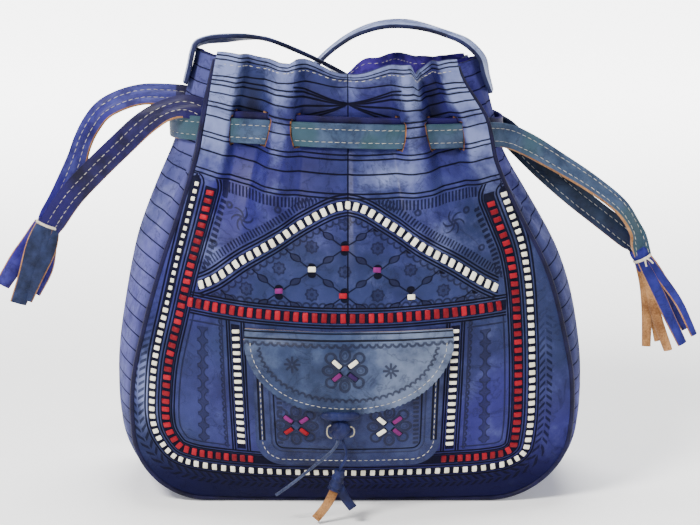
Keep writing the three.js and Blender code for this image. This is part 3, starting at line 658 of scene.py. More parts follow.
# Tooled lines: height or distance, gap of a double line or 0 for a single one, half-width
BORDER_LINES = ((-4.3, 0, 0.36), (4.6, 0, 0.36), (14.3, 1.8, 0.36))
GABLE_LINES = ((5.5, 1.9, 0.36),)
ROW_LINES = ((5.6, 1.7, 0.36),)
COLUMN_LINES = ((4.9, 1.7, 0.36),)
NECK_LINES = ((247.0, 3.0, 0.3), (236.5, 0, 0.32), (223.5, 2.8, 0.3), (297.0, 2.6, 0.26), (259.5, 0, 0.3))
COLLAR_LINES = ((281.0, 2.8, 0.3), (267.0, 2.8, 0.3), (274.5, 0, 0.24))
SLANTED_LINES = ((288.5, 0, 0.28),)
BACK_LINES = (
    (247.0, 3.0, 0.36), (236.5, 0, 0.42), (223.5, 2.8, 0.36), (281.0, 2.8, 0.36), (267.0, 2.8, 0.36)
)
BACK_BORDER_LINES = ((4.6, 2.4, 0.36),)
FLAP_LINES = ((122.2, 0, 0.4), (126.6, 0, 0.3))
POCKET_INNER_LINES = ((13.2, 0, 0.3),)
POCKET_SIDE_LINES = ((4.4, 2.8, 0.5),)
POCKET_STAMP_LINES = ((10.6, 0, 0.35),)
RIM_SLANT = 0.04
FAN_REACH = 36.0
FAN_V = 278.0
FAN_HALF = 0.3
FAN_SLOPES = (0.18, 0.122, 0.044, -0.1, -0.267, -0.344)
MIDDLE_LINE_HALF = 0.35
MIDDLE_LINE_FROM = 138.0

# Side fields: a frame with a scalloped edge and a chain down the middle
FIELD_FROM_COLUMN = 7.6
FIELD_FROM_BORDER = 16.6
RAIL_HALF = 0.3
RAIL_FROM_BORDER = 18.4
RAIL_FROM_COLUMN = 9.0
RAIL_V = 132.0
NICK_FROM_COLUMN = 9.2
NICK_PITCH = 4.2
NICK_RADIUS = 1.6
NICK_HALF = 0.4
CHAIN_MIDDLE = -2.65
CHAIN_X = 93.0
CHAIN_HALF = 3.5
CHAIN_SPAN = (51.0, 129.0)
LINK_X = 4.3
LINK_PITCH = 8.3
LINK_OPEN = 3.7
LINK_SOFT = 0.35
LINK_RADIUS = 3.6
LINK_TONE = 0.75

# Upper corners: combs of ticks along three sides, rings and a spray
CORNER_FROM_GABLE = 7.2
CORNER_FROM_BORDER = 16.2
COMB_SPAN = (214.6, 220.4)
TICK_SPAN = (8.2, 12.6)
TICK = (2.3, 0.42, 0.3)
BLOCK_SPAN = (16.8, 20.6)
BLOCK = (3.7, 0.85)
TICK_TONE = 0.8
CORNER_RINGS = ((78.0, 207.5), (46.0, 212.5), (88.0, 182.5))
CORNER_RING_RADIUS = 1.6
CORNER_RING_HALF = 0.5
SPRAY_X = 69.3
SPRAY_V = 201.5
SPRAY_ARMS = 6
SPRAY_ARM_HALF = 0.55
SPRAY_TWIST = 0.17
SPRAY_SPAN = (1.6, 7.4)
SPRAY_EYE_RADIUS = 1.2

# Gable: a lattice of leaf chains with rosettes, dark discs at the crossings and scalloped edges
NET_IN_GABLE = 7.4
NET_X = -2.0
NET_V = 190.0
NET_STEP_X = 43.0
NET_STEP_V = 32.0
LEAF_TAPER = 42.0
LEAF_SCALE = 25.7
LEAF_WIDE = 2.1
LEAF_LINE_HALF = 0.28
LEAF_LINE_TONE = 0.85
LEAF_INSET = 0.3
LEAF_FROM = 0.1
LEAF_SOFT = 0.05
LEAF_TONE = 0.9
KNOT_SQUEEZE = 0.85
KNOT_V = 2.6
KNOT_INNER = 0.4
KNOT_HALF = 1.7
KNOT_SOFT = 0.5
ROSE_PETALS = 8.0
ROSE_WAVE = 0.4
ROSE_RADIUS = 3.6
ROSE_RIM = 0.5
ROSE_EYE = 1.1
ROSE_TONE = 0.55
SCALLOP_PITCH = 5.4
SCALLOP_HALF = 0.4
SCALLOP_FROM_GABLE = 7.8
SCALLOP_RADIUS = 2.5
HEM_V = 150.0
HEM_RADIUS = 2.4

# A stamped braid outside the white border, low on the panel
BRAID_OUT = 9.4
BRAID_SLANT = 0.9
BRAID = (4.8, 0.75, 0.5)
BRAID_HALF = 4.0
BRAID_SPLIT = 0.5
BRAID_SPLIT_SOFT = 0.3
BRAID_FADE = (96.0, 150.0)
BRAID_TONE = 0.75


class FrontPattern:
    """The front's tooling, from the places kept on its mesh."""

    def __init__(self, paint):
        self.paint = paint
        self.x, self.v, self.wear_and_shading = paint.attribute("place")
        self.border, self.border_run, _ = paint.attribute("border")
        self.gable, self.gable_run, _ = paint.attribute("gable")
        self.side = abs(self.x)
        self.column = abs(self.x - COLUMN_MIDDLE) - (self.v - COLUMN_FOOT) * COLUMN_LEAN - COLUMN_X
        self.under_top = paint.under(self.v, PATTERN_TOP)
        self.above_row = paint.over(self.v, ROW_UPPER)

    # The lanes are partly a darker channel and partly painted shade of the slits between the laces
    def lanes(self):
        """Dark lanes under the laced rows."""
        paint = self.paint
        return paint.most(
            paint.near(self.border, LANE_HALF) * self.under_top,
            paint.near(self.border - RED_INSET, RED_LANE_HALF) * paint.near(self.v, RED_LANE_TOP),
            paint.near(self.gable, LANE_HALF) * paint.near(self.x, GABLE_LANE_REACH),
            paint.near(self.v - ROW_V, RED_LANE_HALF) * paint.near(self.x, ROW_REACH),
            paint.near(self.column, LANE_HALF) * paint.between(self.v, *COLUMN_LANE_SPAN),
        )

    def plain_lines(self):
        """Lines across the neck and the collar, and beside the laced rows."""
        paint = self.paint
        outside = paint.over(self.side, FAN_REACH)
        fans = [paint.near(self.v - FAN_V - self.side * slope, FAN_HALF) for slope in FAN_SLOPES]
        inside = paint.over(self.border, INSIDE_BORDER)
        return paint.most(
            paint.lines(self.v, NECK_LINES),
            paint.lines(self.v, COLLAR_LINES) * outside,
            paint.lines(self.v + self.side * RIM_SLANT, SLANTED_LINES),
            paint.most(*fans) * (1.0 - outside),
            paint.near(self.x, MIDDLE_LINE_HALF) * paint.over(self.v, MIDDLE_LINE_FROM),
            paint.lines(self.border, BORDER_LINES) * self.under_top,
            paint.lines(abs(self.gable), GABLE_LINES) * paint.near(self.x, GABLE_LINE_REACH) * inside,
            paint.lines(abs(self.v - ROW_V), ROW_LINES) * paint.near(self.x, ROW_REACH),
            paint.lines(abs(self.column), COLUMN_LINES) * paint.between(self.v, *COLUMN_LINE_SPAN),
        )

    def side_fields(self):
        paint = self.paint
        field = paint.over(self.column, FIELD_FROM_COLUMN) * paint.over(self.border, FIELD_FROM_BORDER)
        field = field * paint.under(self.v, ROW_LOWER)
        nicks = paint.ring(
            paint.repeat(self.v, NICK_PITCH), self.column - NICK_FROM_COLUMN, NICK_RADIUS, NICK_HALF
        )
        framed = paint.most(
            paint.near(self.border - RAIL_FROM_BORDER, RAIL_HALF),
            paint.near(self.v - RAIL_V, RAIL_HALF),
            paint.near(self.column - RAIL_FROM_COLUMN, RAIL_HALF),
            nicks * paint.over(self.column, NICK_FROM_COLUMN),
        )
        chain = abs(self.x - CHAIN_MIDDLE) - CHAIN_X
        link = paint.reach(abs(chain) - LINK_X, paint.repeat(self.v, LINK_PITCH))
        star = paint.over(link, LINK_OPEN, LINK_SOFT) * LINK_TONE
        links = paint.most(star, paint.near(link - LINK_RADIUS, RAIL_HALF))
        links = links * paint.near(chain, CHAIN_HALF) * paint.between(self.v, *CHAIN_SPAN)
        return paint.most(framed * field, links)

    def corners(self):
        """The corners' tooled ticks, and their stamps."""
        paint = self.paint
        corner = paint.over(self.gable, CORNER_FROM_GABLE) * paint.over(self.border, CORNER_FROM_BORDER)
        comb = paint.between(self.v, *COMB_SPAN) * paint.bars(self.x, *TICK)
        blocks = paint.between(self.border, *BLOCK_SPAN) * paint.bars(self.border_run, *BLOCK)
        ticks = paint.between(self.gable, *TICK_SPAN) * paint.bars(self.gable_run, *TICK)
        tool = paint.most(comb, blocks * self.above_row, ticks) * corner * self.under_top * TICK_TONE
        stamps = [
            paint.ring(self.side - ring_x, self.v - ring_v, CORNER_RING_RADIUS, CORNER_RING_HALF)
            for ring_x, ring_v in CORNER_RINGS
        ]
        arms, out = paint.rays(
            self.side - SPRAY_X, self.v - SPRAY_V, SPRAY_ARMS, SPRAY_ARM_HALF, twist=SPRAY_TWIST
        )
        stamps.append(arms * paint.between(out, *SPRAY_SPAN))
        stamps.append(paint.near(out - SPRAY_EYE_RADIUS, CORNER_RING_HALF))
        return tool, paint.most(*stamps)

    def gable_net(self):
        """The lattice's tooled lines and discs, and its stamps."""
        paint = self.paint
        net = paint.over(0.0 - self.gable, NET_IN_GABLE) * self.above_row
        part_x = (self.x - NET_X) / NET_STEP_X
        part_v = (self.v - NET_V) / NET_STEP_V
        leans = (part_x + part_v, part_x - part_v)
        offs = [paint.repeat(lean, 1.0) for lean in leans]
        mids = [paint.repeat(lean + 0.5, 1.0) for lean in leans]
        knot_x = (offs[0] + offs[1]) * (NET_STEP_X / 2)
        knot_v = (offs[0] - offs[1]) * (NET_STEP_V / 2)
        knot = paint.reach(knot_x * KNOT_SQUEEZE, abs(knot_v) - KNOT_V)
        tools = [paint.near(knot - KNOT_INNER, KNOT_HALF, KNOT_SOFT)]
        stamps = []
        for off, mid in zip(offs, mids[::-1]):
            leaf = (1.0 - mid * mid * LEAF_TAPER).math("MAXIMUM", 0.0)
            rim = abs(off) * LEAF_SCALE - leaf * LEAF_WIDE
            tools.append(paint.near(rim, LEAF_LINE_HALF) * LEAF_LINE_TONE)
            filled = paint.over(0.0 - rim, LEAF_INSET) * paint.over(leaf, LEAF_FROM, LEAF_SOFT)
            stamps.append(filled * LEAF_TONE)
        rose_x = (mids[0] + mids[1]) * (NET_STEP_X / 2)
        rose_v = (mids[0] - mids[1]) * (NET_STEP_V / 2)
        rose = paint.reach(rose_x, rose_v)
        petals = paint.math("ARCTAN2", rose_v, rose_x) * ROSE_PETALS
        rim = rose - petals.math("COSINE") * ROSE_WAVE - ROSE_RADIUS
        stamps += [
            paint.near(rim, ROSE_RIM),
            paint.near(rose, ROSE_EYE),
            paint.over(0.0 - rim, 0.0) * ROSE_TONE,
            paint.ring(
                paint.repeat(self.gable_run, SCALLOP_PITCH),
                self.gable + SCALLOP_FROM_GABLE,
                SCALLOP_RADIUS,
                SCALLOP_HALF,
            ),
            paint.ring(paint.repeat(self.x, SCALLOP_PITCH), self.v - HEM_V, HEM_RADIUS, SCALLOP_HALF),
        ]
        return paint.most(*tools) * net, paint.most(*stamps) * net

    def braid(self):
        paint = self.paint
        off = abs(self.border + BRAID_OUT)
        strands = paint.bars(self.border_run + off * BRAID_SLANT, *BRAID)
        halves = paint.near(off, BRAID_HALF) * paint.over(off, BRAID_SPLIT, BRAID_SPLIT_SOFT)
        low = 1.0 - paint.spread(self.v, *BRAID_FADE)
        return strands * halves * low * BRAID_TONE


PANEL_DRIFT = 0.55
FRONT_GLOSS = 0.1
FOOT_SHADE_FADE = (18.0, 60.0, 0.88, 0.0)
SLIT_RIM = 0.55
SLIT_RIM_SOFT = 0.15
SLIT_RIM_REACH = 8.6
GUSSET_ROUGHNESS = 0.6
GUSSET_DRIFT = 0.5
GUSSET_LINES = (10.0, 0.28, 0.3)
GUSSET_LINE_TONE = 0.9
GUSSET_GLOSS = 0.07


def front_leather():
    paint = Paint("front_leather")
    pattern = FrontPattern(paint)
    slit, slit_up, _ = paint.attribute("slit")
    hue, rough, height = mottled(paint, FRONT_TONES, pattern.wear_and_shading, drift=PANEL_DRIFT)
    corner_tool, corner_stamp = pattern.corners()
    net_tool, net_stamp = pattern.gable_net()
    tool = paint.most(pattern.plain_lines(), corner_tool, net_tool, pattern.braid())
    stamp = paint.most(pattern.side_fields(), corner_stamp, net_stamp)
    # Painted shade: darker and matt towards the foot
    foot = paint.spread(pattern.v, *FOOT_SHADE_FADE)
    slit_edge = paint.near(slit - SLIT_RIM, SLIT_RIM, SLIT_RIM_SOFT) * paint.near(slit_up, SLIT_RIM_REACH)
    hue = paint.mix(slit_edge, paint.mix(foot, hue, FOOT_SHADE), TAN_EDGE)
    return tooled_finish(paint, (hue, rough, height), tool, stamp, pattern.lanes(), foot, gloss=FRONT_GLOSS)


def back_leather():
    paint = Paint("back_leather")
    _, v, wear_and_shading = paint.attribute("place")
    border, _, _ = paint.attribute("border")
    leather = mottled(paint, BACK_TONES, wear_and_shading, drift=PANEL_DRIFT)
    edge = paint.lines(border, BACK_BORDER_LINES) * paint.under(v, PATTERN_TOP)
    return tooled_finish(paint, leather, paint.most(paint.lines(v, BACK_LINES), edge))


def gusset_leather():
    paint = Paint("gusset_leather")
    run, _, wear_and_shading = paint.attribute("place")
    leather = mottled(paint, GUSSET_TONES, wear_and_shading, GUSSET_ROUGHNESS, GUSSET_DRIFT)
    tool = paint.bars(run, *GUSSET_LINES) * GUSSET_LINE_TONE
    return tooled_finish(paint, leather, tool, coat=0.0, gloss=GUSSET_GLOSS)


# Tooling of the flap and the pocket: hems, scallops, stars and bands
FLAP_HEM = (5.2, 120.6, 2.2)
FLAP_HEM_TOP = 120.4
FLAP_SCALLOP = (4.8, 8.4, 2.1)
FLAP_SCALLOP_FROM = 8.3
FLAP_SCALLOP_TOP = 117.0
FLAP_STAMP_HALF = 0.5
STARS = ((-35.4, 107.0), (27.5, 103.0))
STAR_RAYS = 8
STAR_RAY_HALF = 0.6
STAR_RAY_SOFT = 0.3
STAR_SPAN = (0.9, 5.0)
POCKET_LINE_FOOT = 52.0
POCKET_BAND = (3.2, 0.75)
POCKET_BAND_SPAN = (42.6, 45.8)
POCKET_BAND_FOOT = 49.0
POCKET_STAMP_TONE = 0.7


def flap_leather():
    paint = Paint("flap_leather")
    x, z, wear_and_shading = paint.attribute("place")
    edge, run, _ = paint.attribute("edge")
    hem_pitch, hem_z, hem_radius = FLAP_HEM
    hem = paint.ring(paint.repeat(x, hem_pitch), z - hem_z, hem_radius, FLAP_STAMP_HALF)
    pitch, inset, radius = FLAP_SCALLOP
    scallop = paint.ring(paint.repeat(run, pitch), edge - inset, radius, FLAP_STAMP_HALF)
    scallop = scallop * paint.over(edge, FLAP_SCALLOP_FROM) * paint.under(z, FLAP_SCALLOP_TOP)
    stamp = paint.most(hem * paint.under(z, FLAP_HEM_TOP), scallop)
    for star_x, star_z in STARS:
        rays, out = paint.rays(x - star_x, z - star_z, STAR_RAYS, STAR_RAY_HALF, STAR_RAY_SOFT)
        stamp = paint.most(stamp, rays * paint.between(out, *STAR_SPAN))
    petals, lane = cross_stamps(paint, x, z, FLAP_CROSS)
    leather = mottled(paint, FLAP_TONES, wear_and_shading)
    return tooled_finish(paint, leather, paint.lines(z, FLAP_LINES), paint.most(stamp, petals), lane)


def pocket_leather():
    paint = Paint("pocket_leather")
    x, z, wear_and_shading = paint.attribute("place")
    edge, _, _ = paint.attribute("edge")
    sides = paint.lines(edge, POCKET_SIDE_LINES) * paint.over(z, POCKET_LINE_FOOT)
    tool = paint.most(paint.lines(edge, POCKET_INNER_LINES), sides)
    band = paint.bars(z, *POCKET_BAND) * paint.between(abs(x), *POCKET_BAND_SPAN)
    band = band * paint.over(z, POCKET_BAND_FOOT)
    left, left_lane = cross_stamps(paint, x, z, LEFT_CROSS)
    right, right_lane = cross_stamps(paint, x, z, RIGHT_CROSS)
    stamp = paint.most(band, paint.lines(edge, POCKET_STAMP_LINES) * POCKET_STAMP_TONE, left, right)
    leather = mottled(paint, POCKET_TONES, wear_and_shading)
    return tooled_finish(paint, leather, tool, stamp, paint.most(left_lane, right_lane))


PLAIN_WEAR = 0.5
TINT_RANGE = (0.48, 0.6, 0.0, 0.75)
FIBRE_RANGE = (0.35, 0.65)
SUEDE_ROUGHNESS = 0.82
SUEDE_STAIN = 0.14
SUEDE_SHEEN = 0.2
TONE_SHARE = 0.7
FINE_SHARE = 0.3
FINE_ROUGHNESS = 0.15


def plain_leather(name, tones, roughness, tint=None):
    paint = Paint(name)
    wear_and_shading = paint.noise(paint.place(), *WEAR_NOISE)
    hue, rough, height = mottled(paint, tones, wear_and_shading * PLAIN_WEAR, roughness)
    if tint:
        stain = paint.noise(paint.place(), *STAIN_NOISE)
        hue = paint.mix(paint.spread(stain, *TINT_RANGE), hue, screen(*tint))
    return paint.finish(hue, rough, height, PLAIN_DEPTH, coat=WAX)


def suede(name, deep, pale):
    """Raw leather: cut edges and flesh sides."""
    paint = Paint(name)
    place = paint.place()
    fibres = paint.noise(place, *FIBRE_NOISE)
    stain = paint.noise(place, *FLESH_NOISE)
    hue = paint.mix(paint.spread((fibres + stain) / 2, *FIBRE_RANGE), screen(*deep), screen(*pale))
    return paint.finish(hue, SUEDE_ROUGHNESS + stain * SUEDE_STAIN, fibres, SUEDE_DEPTH, sheen=SUEDE_SHEEN)


def toned(name, deep, pale, roughness, scale, depth):
    """Small pieces laid in rows, each with a tone of its own."""
    paint = Paint(name)
    fine = paint.noise(paint.place(), scale)
    hue = paint.mix(paint.number("tone") * TONE_SHARE + fine * FINE_SHARE, screen(*deep), screen(*pale))
    return paint.finish(hue, roughness + fine * FINE_ROUGHNESS, fine, depth)


FLOOR_TONES = ((246, 246, 246), (251, 251, 251))
FLOOR_FADE = (0.2, 1.5, 0.04, 1.0)
FLOOR_ROUGHNESS = 0.9
FLOOR_UNEVEN = 0.1


def pale_floor():
    """A floor that glows more and more towards the back."""
    paint = Paint("floor")
    place = paint.place()
    fine = paint.noise(place, *FLOOR_NOISE)
    hue = paint.mix(fine, *(screen(*tone) for tone in FLOOR_TONES))
    _, back, _ = paint.parts(place)
    glow = paint.mix(paint.spread(back, *FLOOR_FADE), BLACK, WHITE)
    return paint.finish(hue, FLOOR_ROUGHNESS + fine * FLOOR_UNEVEN, fine, FLOOR_DEPTH, glow=glow)


# Plain leathers: deep, middle and pale tones, roughness, and the tone of stains where there are any
PLAIN_LEATHERS = {
    "inside_leather": (((36, 18, 98), (62, 34, 146), (88, 66, 172)), 0.55),
    "edge_leather": (((11, 12, 34), (22, 25, 60), (48, 54, 98)), 0.5),
    # The welt's near-black tone is partly its own dark purple and partly painted shade of the seam
    "welt_leather": (((6, 4, 24), (13, 10, 44), (30, 27, 74)), 0.5),
    "teal_strap": (((30, 44, 68), (50, 68, 98), (84, 100, 124)), 0.42, (42, 70, 78)),
    "deep_teal": (((12, 19, 34), (22, 32, 54), (50, 66, 92)), 0.5, (14, 22, 56)),
    "violet_strap": (((8, 5, 26), (16, 11, 48), (40, 35, 92)), 0.5, (24, 12, 82)),
    "bright_violet": (((16, 9, 66), (29, 20, 98), (80, 86, 156)), 0.45, (34, 18, 112)),
    # The shoulder strap's pale blue-grey is partly painted light: its brightly lit top face over blue leather
    "shoulder_leather": (((70, 80, 124), (112, 124, 168), (168, 180, 214)), 0.45),
    "knot_leather": (((8, 10, 38), (18, 22, 66), (46, 56, 108)), 0.42),
    "dark_blade": (((8, 12, 28), (17, 24, 48), (54, 68, 112)), 0.5),
    "violet_blade": (((20, 8, 78), (38, 20, 116), (70, 74, 150)), 0.5),
    "blue_blade": (((16, 15, 82), (28, 28, 110), (52, 54, 146)), 0.5),
}

# Raw leathers: deep and pale tones
SUEDES = {
    "raw_edge": ((106, 67, 35), (174, 127, 80)),
    "thin_lace": ((20, 25, 50), (62, 70, 98)),
    "frayed_lace": ((86, 84, 84), (160, 152, 130)),
    "tie_thread": ((150, 140, 120), (214, 206, 188)),
}

# Laces and thread: deep and pale tones, roughness, scale of the fine noise, depth of its relief in metres
SMALL_LOOKS = {
    "thread": ((150, 148, 140), (206, 202, 190), 0.7, 2600.0, 0.0001),
    "white_lace": ((214, 208, 182), (246, 242, 226), 0.5, 700.0, 0.0002),
    "red_lace": ((78, 1, 14), (158, 10, 32), 0.45, 700.0, 0.0002),
    "purple_lace": ((70, 12, 66), (112, 30, 98), 0.45, 700.0, 0.0002),
    "plum_lace": ((30, 12, 56), (50, 22, 80), 0.45, 700.0, 0.0002),
}
LOOK = {
    "front_leather": front_leather(),
    "back_leather": back_leather(),
    "gusset_leather": gusset_leather(),
    "flap_leather": flap_leather(),
    "pocket_leather": pocket_leather(),
    "floor": pale_floor(),
}
for make_look, look_table in ((plain_leather, PLAIN_LEATHERS), (suede, SUEDES), (toned, SMALL_LOOKS)):
    for look_name, look_row in look_table.items():
        LOOK[look_name] = make_look(look_name, *look_row)


# Building pieces
SHARP_TURN = math.radians(38)


def add_object(name, data):
    made = bpy.data.objects.new(name, data)
    scene.collection.objects.link(made)
    return made


def add_vectors(mesh, columns):
    """Keeps named vectors on the points of a mesh."""
    for key, values in columns.items():
        layer = mesh.attributes.new(key, "FLOAT_VECTOR", "POINT")
        layer.data.foreach_set("vector", np.asarray(values, np.float32).ravel())


def add_mesh(name, points, faces, looks, look_ids=None, marks=None):
    """A smooth mesh object from points in millimetres, swayed as the whole bag is."""
    mesh = bpy.data.meshes.new(name)
    mesh.from_pydata((sway(points) * MM).tolist(), [], faces)
    for look in looks:
        mesh.materials.append(LOOK[look])
    if look_ids is not None:
        mesh.polygons.foreach_set("material_index", np.asarray(look_ids, np.int32))
    add_vectors(mesh, marks or {})
    mesh.shade_smooth()
    mesh.set_sharp_from_angle(angle=SHARP_TURN)
    mesh.update()
    return add_object(name, mesh)


def settle(piece, slot, *nodes):
    """The piece rides on the bag and stands for CAD nodes; its slot is not used."""
    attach(piece, "root")
    if nodes:
        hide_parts(*nodes)


def apply_modifiers(piece):
    graph = bpy.context.evaluated_depsgraph_get()
    mesh = bpy.data.meshes.new_from_object(piece.evaluated_get(graph))
    piece.modifiers.clear()
    piece.data = mesh


def shell(name, grid, wall, looks, marks):
    """A leather wall from its middle layer: rows go up, columns to the right as seen from outside.

    The looks are those of the outer face, the inner face and the cut edge."""
    rows, columns = grid.shape[:2]
    lift = unit(np.cross(np.gradient(grid, axis=1), np.gradient(grid, axis=0))) * wall / 2
    points = np.concatenate([(grid + lift).reshape(-1, 3), (grid - lift).reshape(-1, 3)])
    ids = np.arange(rows * columns).reshape(rows, columns)
    outer = np.stack([ids[:-1, :-1], ids[:-1, 1:], ids[1:, 1:], ids[1:, :-1]], -1).reshape(-1, 4)
    inner = outer[:, ::-1] + rows * columns
    ring = np.concatenate([ids[0, :-1], ids[:-1, -1], ids[-1, :0:-1], ids[:0:-1, 0]])
    after = np.roll(ring, -1)
    rim = np.stack([after, ring, ring + rows * columns, after + rows * columns], -1)
    faces = np.concatenate([outer, inner, rim]).tolist()
    look_ids = np.repeat([0, 1, 2], [len(outer), len(inner), len(rim)])
    doubled = {mark: np.concatenate([values.reshape(-1, 3)] * 2) for mark, values in marks.items()}
    return add_mesh(name, points, faces, looks, look_ids, doubled)


def bar_faces(stations, count):
    """Faces of a closed bar whose section has count corners."""
    ids = np.arange(stations * count).reshape(stations, count)
    after = np.roll(ids, -1, axis=1)
    quads = np.stack([ids[:-1], after[:-1], after[1:], ids[1:]], -1).reshape(-1, 4)
    return quads.tolist() + [ids[0, ::-1].tolist(), ids[-1].tolist()]


class Route:
    """A strap's line: places, and the ways along, sideways and out of its face."""

    def __init__(self, knots, count, faces):
        self.place = spline(knots, count)
        self.along = unit(np.gradient(self.place, axis=0))
        self.side = unit(np.cross(spline(faces, count), self.along))
        self.out = unit(np.cross(self.along, self.side))
        self.run = lengths_along(self.place)

    def bar(self, section, girth=1.0):
        """A closed bar of the section, made thinner or thicker along the line by girth."""
        wide, high = np.asarray(section, float).T
        spread = self.side[:, None] * wide[:, None] + self.out[:, None] * high[:, None]
        points = self.place[:, None] + spread * np.broadcast_to(girth, len(self.place))[:, None, None]
        return points.reshape(-1, 3), bar_faces(len(self.place), len(section))

    def at(self, spots):
        """Places and ways at given lengths along the line."""
        return [picked(spots, self.run, values) for values in (self.place, self.along, self.side, self.out)]


def flat_section(width, thick):
    half = width / 2
    high = thick / 2
    return [(-half, -high), (half, -high), (half, high), (-half, high)]


EDGE_ROUND = 0.5
EDGE_LOWER = 0.1
MIDDLE_RISE = 0.1
ROW_PRESSED = 0.35
ROW_BESIDE = 1.0
PLAIN_SHARES = (0.62, 0.25)


def sewn_section(width, thick, row_at=None):
    """A strap's rounded section, pressed in where stitch rows run; and which of its faces are cut edges."""
    half = width / 2
    high = thick / 2
    inner = [(half * share, high) for share in PLAIN_SHARES] + [(0, high)]
    if row_at:
        inner = [
            (row_at + ROW_BESIDE, high),
            (row_at, high - ROW_PRESSED),
            (row_at - ROW_BESIDE, high),
            (0, high + MIDDLE_RISE),
        ]
    right = [(half - EDGE_ROUND, high - EDGE_LOWER)] + inner
    upper = right + [(-across, up) for across, up in right[-2::-1]]
    under = [(across, -up) for across, up in upper[::-1]]
    ends = [(half, -high / 2), (half, high / 2)]
    section = under + ends + upper + [(-half, high / 2), (-half, -high / 2)]
    count = len(upper)
    is_edge = [count - 1 <= k <= count + 1 or k >= 2 * count + 1 for k in range(len(section))]
    return section, is_edge


def round_section(radius, sides):
    turns = np.arange(sides) * 2 * math.pi / sides
    return np.stack([np.cos(turns), np.sin(turns)], -1) * radius


def strap_piece(name, route, section, raw, looks, girth=1.0, free_from_x=0.0):
    """A strap in its first look; its free ends have raw edges in the second, and the last is in the third."""
    points, faces = route.bar(section, girth)
    free = np.abs(route.place[:, 0]) >= free_from_x
    last = (route.run > route.run[-1] / 2) & (len(looks) > 2)
    count = len(section)
    station = np.repeat(np.arange(len(route.place) - 1), count)
    is_raw = np.tile(raw, len(route.place) - 1)
    look_ids = np.where(free[station], np.where(is_raw, 1, np.where(last[station], len(looks) - 1, 0)), 0)
    return add_mesh(name, points, faces, looks, [*look_ids, 1, 1])


def joined(parts):
    """Several closed forms as one list of points and faces, with each face's look."""
    points, faces, look_ids = [], [], []
    for form, its_faces, look in parts:
        start = sum(len(p) for p in points)
        points.append(np.asarray(form, float))
        faces.extend([[start + corner for corner in face] for face in its_faces])
        look_ids.extend(look if isinstance(look, list) else [look] * len(its_faces))
    return np.concatenate(points), faces, look_ids


# Rows of small pieces, laid by geometry nodes on points that carry their ways and sizes


LAYING_INPUTS = {
    "Geometry": "NodeSocketGeometry",
    "Look": "NodeSocketMaterial",
    "Turn": "NodeSocketFloat",
    "Seed": "NodeSocketInt",
}
LACE_GRID = {"Size": (1, 1, 1), "Vertices X": 4, "Vertices Y": 6, "Vertices Z": 2}
LACE_END_DROP = 12.0
LACE_SIDE_DROP = 5.0
LACE_SWELL_X = 5.6
LACE_SWELL_Y = 1.6
LACE_EDGE_SQUARE = 0.25
THREAD_BEAD = {"Segments": 6, "Rings": 4, "Radius": 0.5}
RANDOM_LOW = 2
RANDOM_HIGH = 3
RANDOM_VALUE = 1


def laying_tree(kind):
    group = bpy.data.node_groups.new("lay_" + kind, "GeometryNodeTree")
    for name, socket_type in LAYING_INPUTS.items():
        group.interface.new_socket(name, in_out="INPUT", socket_type=socket_type)
    group.interface.new_socket("Geometry", in_out="OUTPUT", socket_type="NodeSocketGeometry")
    tree = Tree(group)
    start = group.nodes.new("NodeGroupInput")
    given = {name: Value(tree, start.outputs[name]) for name in LAYING_INPUTS}

    def random(low, high, seed):
        inputs = {RANDOM_LOW: low, RANDOM_HIGH: high, "Seed": seed}
        return tree.node("FunctionNodeRandomValue", {"data_type": "FLOAT"}, inputs, RANDOM_VALUE)

    along, up, size = (
        tree.node("GeometryNodeInputNamedAttribute", {"data_type": "FLOAT_VECTOR"}, {"Name": name})
        for name in ("along", "up", "size")
    )
    if kind == "lace":
        shape = tree.node("GeometryNodeMeshCube", {}, LACE_GRID)
        x, y, _ = tree.parts(tree.node("GeometryNodeInputPosition", {}, {}))
        swell = {
            "X": x * (LACE_EDGE_SQUARE - x * x) * LACE_SWELL_X,
            "Y": y * (LACE_EDGE_SQUARE - y * y) * LACE_SWELL_Y,
            "Z": (y * y * y * y) * -LACE_END_DROP - (x * x * x * x) * LACE_SIDE_DROP,
        }
        offset = tree.node("ShaderNodeCombineXYZ", {}, swell)
        shape = tree.node("GeometryNodeSetPosition", {}, {"Geometry": shape, "Offset": offset})
    else:
        shape = tree.node("GeometryNodeMeshUVSphere", {}, THREAD_BEAD)
    shape = tree.node("GeometryNodeSetShadeSmooth", {}, {"Geometry": shape, "Shade Smooth": True})
    axes = {"primary_axis": "Z", "secondary_axis": "X"}
    facing = tree.node("FunctionNodeAxesToRotation", axes, {"Primary Axis": up, "Secondary Axis": along})
    swing = random(given["Turn"] * -1.0, given["Turn"], given["Seed"])
    spin = tree.node("ShaderNodeCombineXYZ", {}, {"Z": swing})
    about = tree.node("FunctionNodeEulerToRotation", {}, {0: spin})
    space = {"rotation_space": "LOCAL"}
    turned = tree.node("FunctionNodeRotateRotation", space, {"Rotation": facing, "Rotate By": about})
    placing = {"Points": given["Geometry"], "Instance": shape, "Rotation": turned, "Scale": size}
    laid = tree.node("GeometryNodeInstanceOnPoints", {}, placing)
    tone = {"Geometry": laid, "Name": "tone", "Value": random(0.0, 1.0, given["Seed"] + 1.0)}
    laid = tree.node("GeometryNodeStoreNamedAttribute", {"data_type": "FLOAT", "domain": "INSTANCE"}, tone)
    real = tree.node("GeometryNodeRealizeInstances", {}, {"Geometry": laid})
    done = tree.node("GeometryNodeSetMaterial", {}, {"Geometry": real, "Material": given["Look"]})
    end = group.nodes.new("NodeGroupOutput")
    group.links.new(done.socket, end.inputs["Geometry"])
    return group


LAYING = {kind: laying_tree(kind) for kind in ("lace", "thread")}


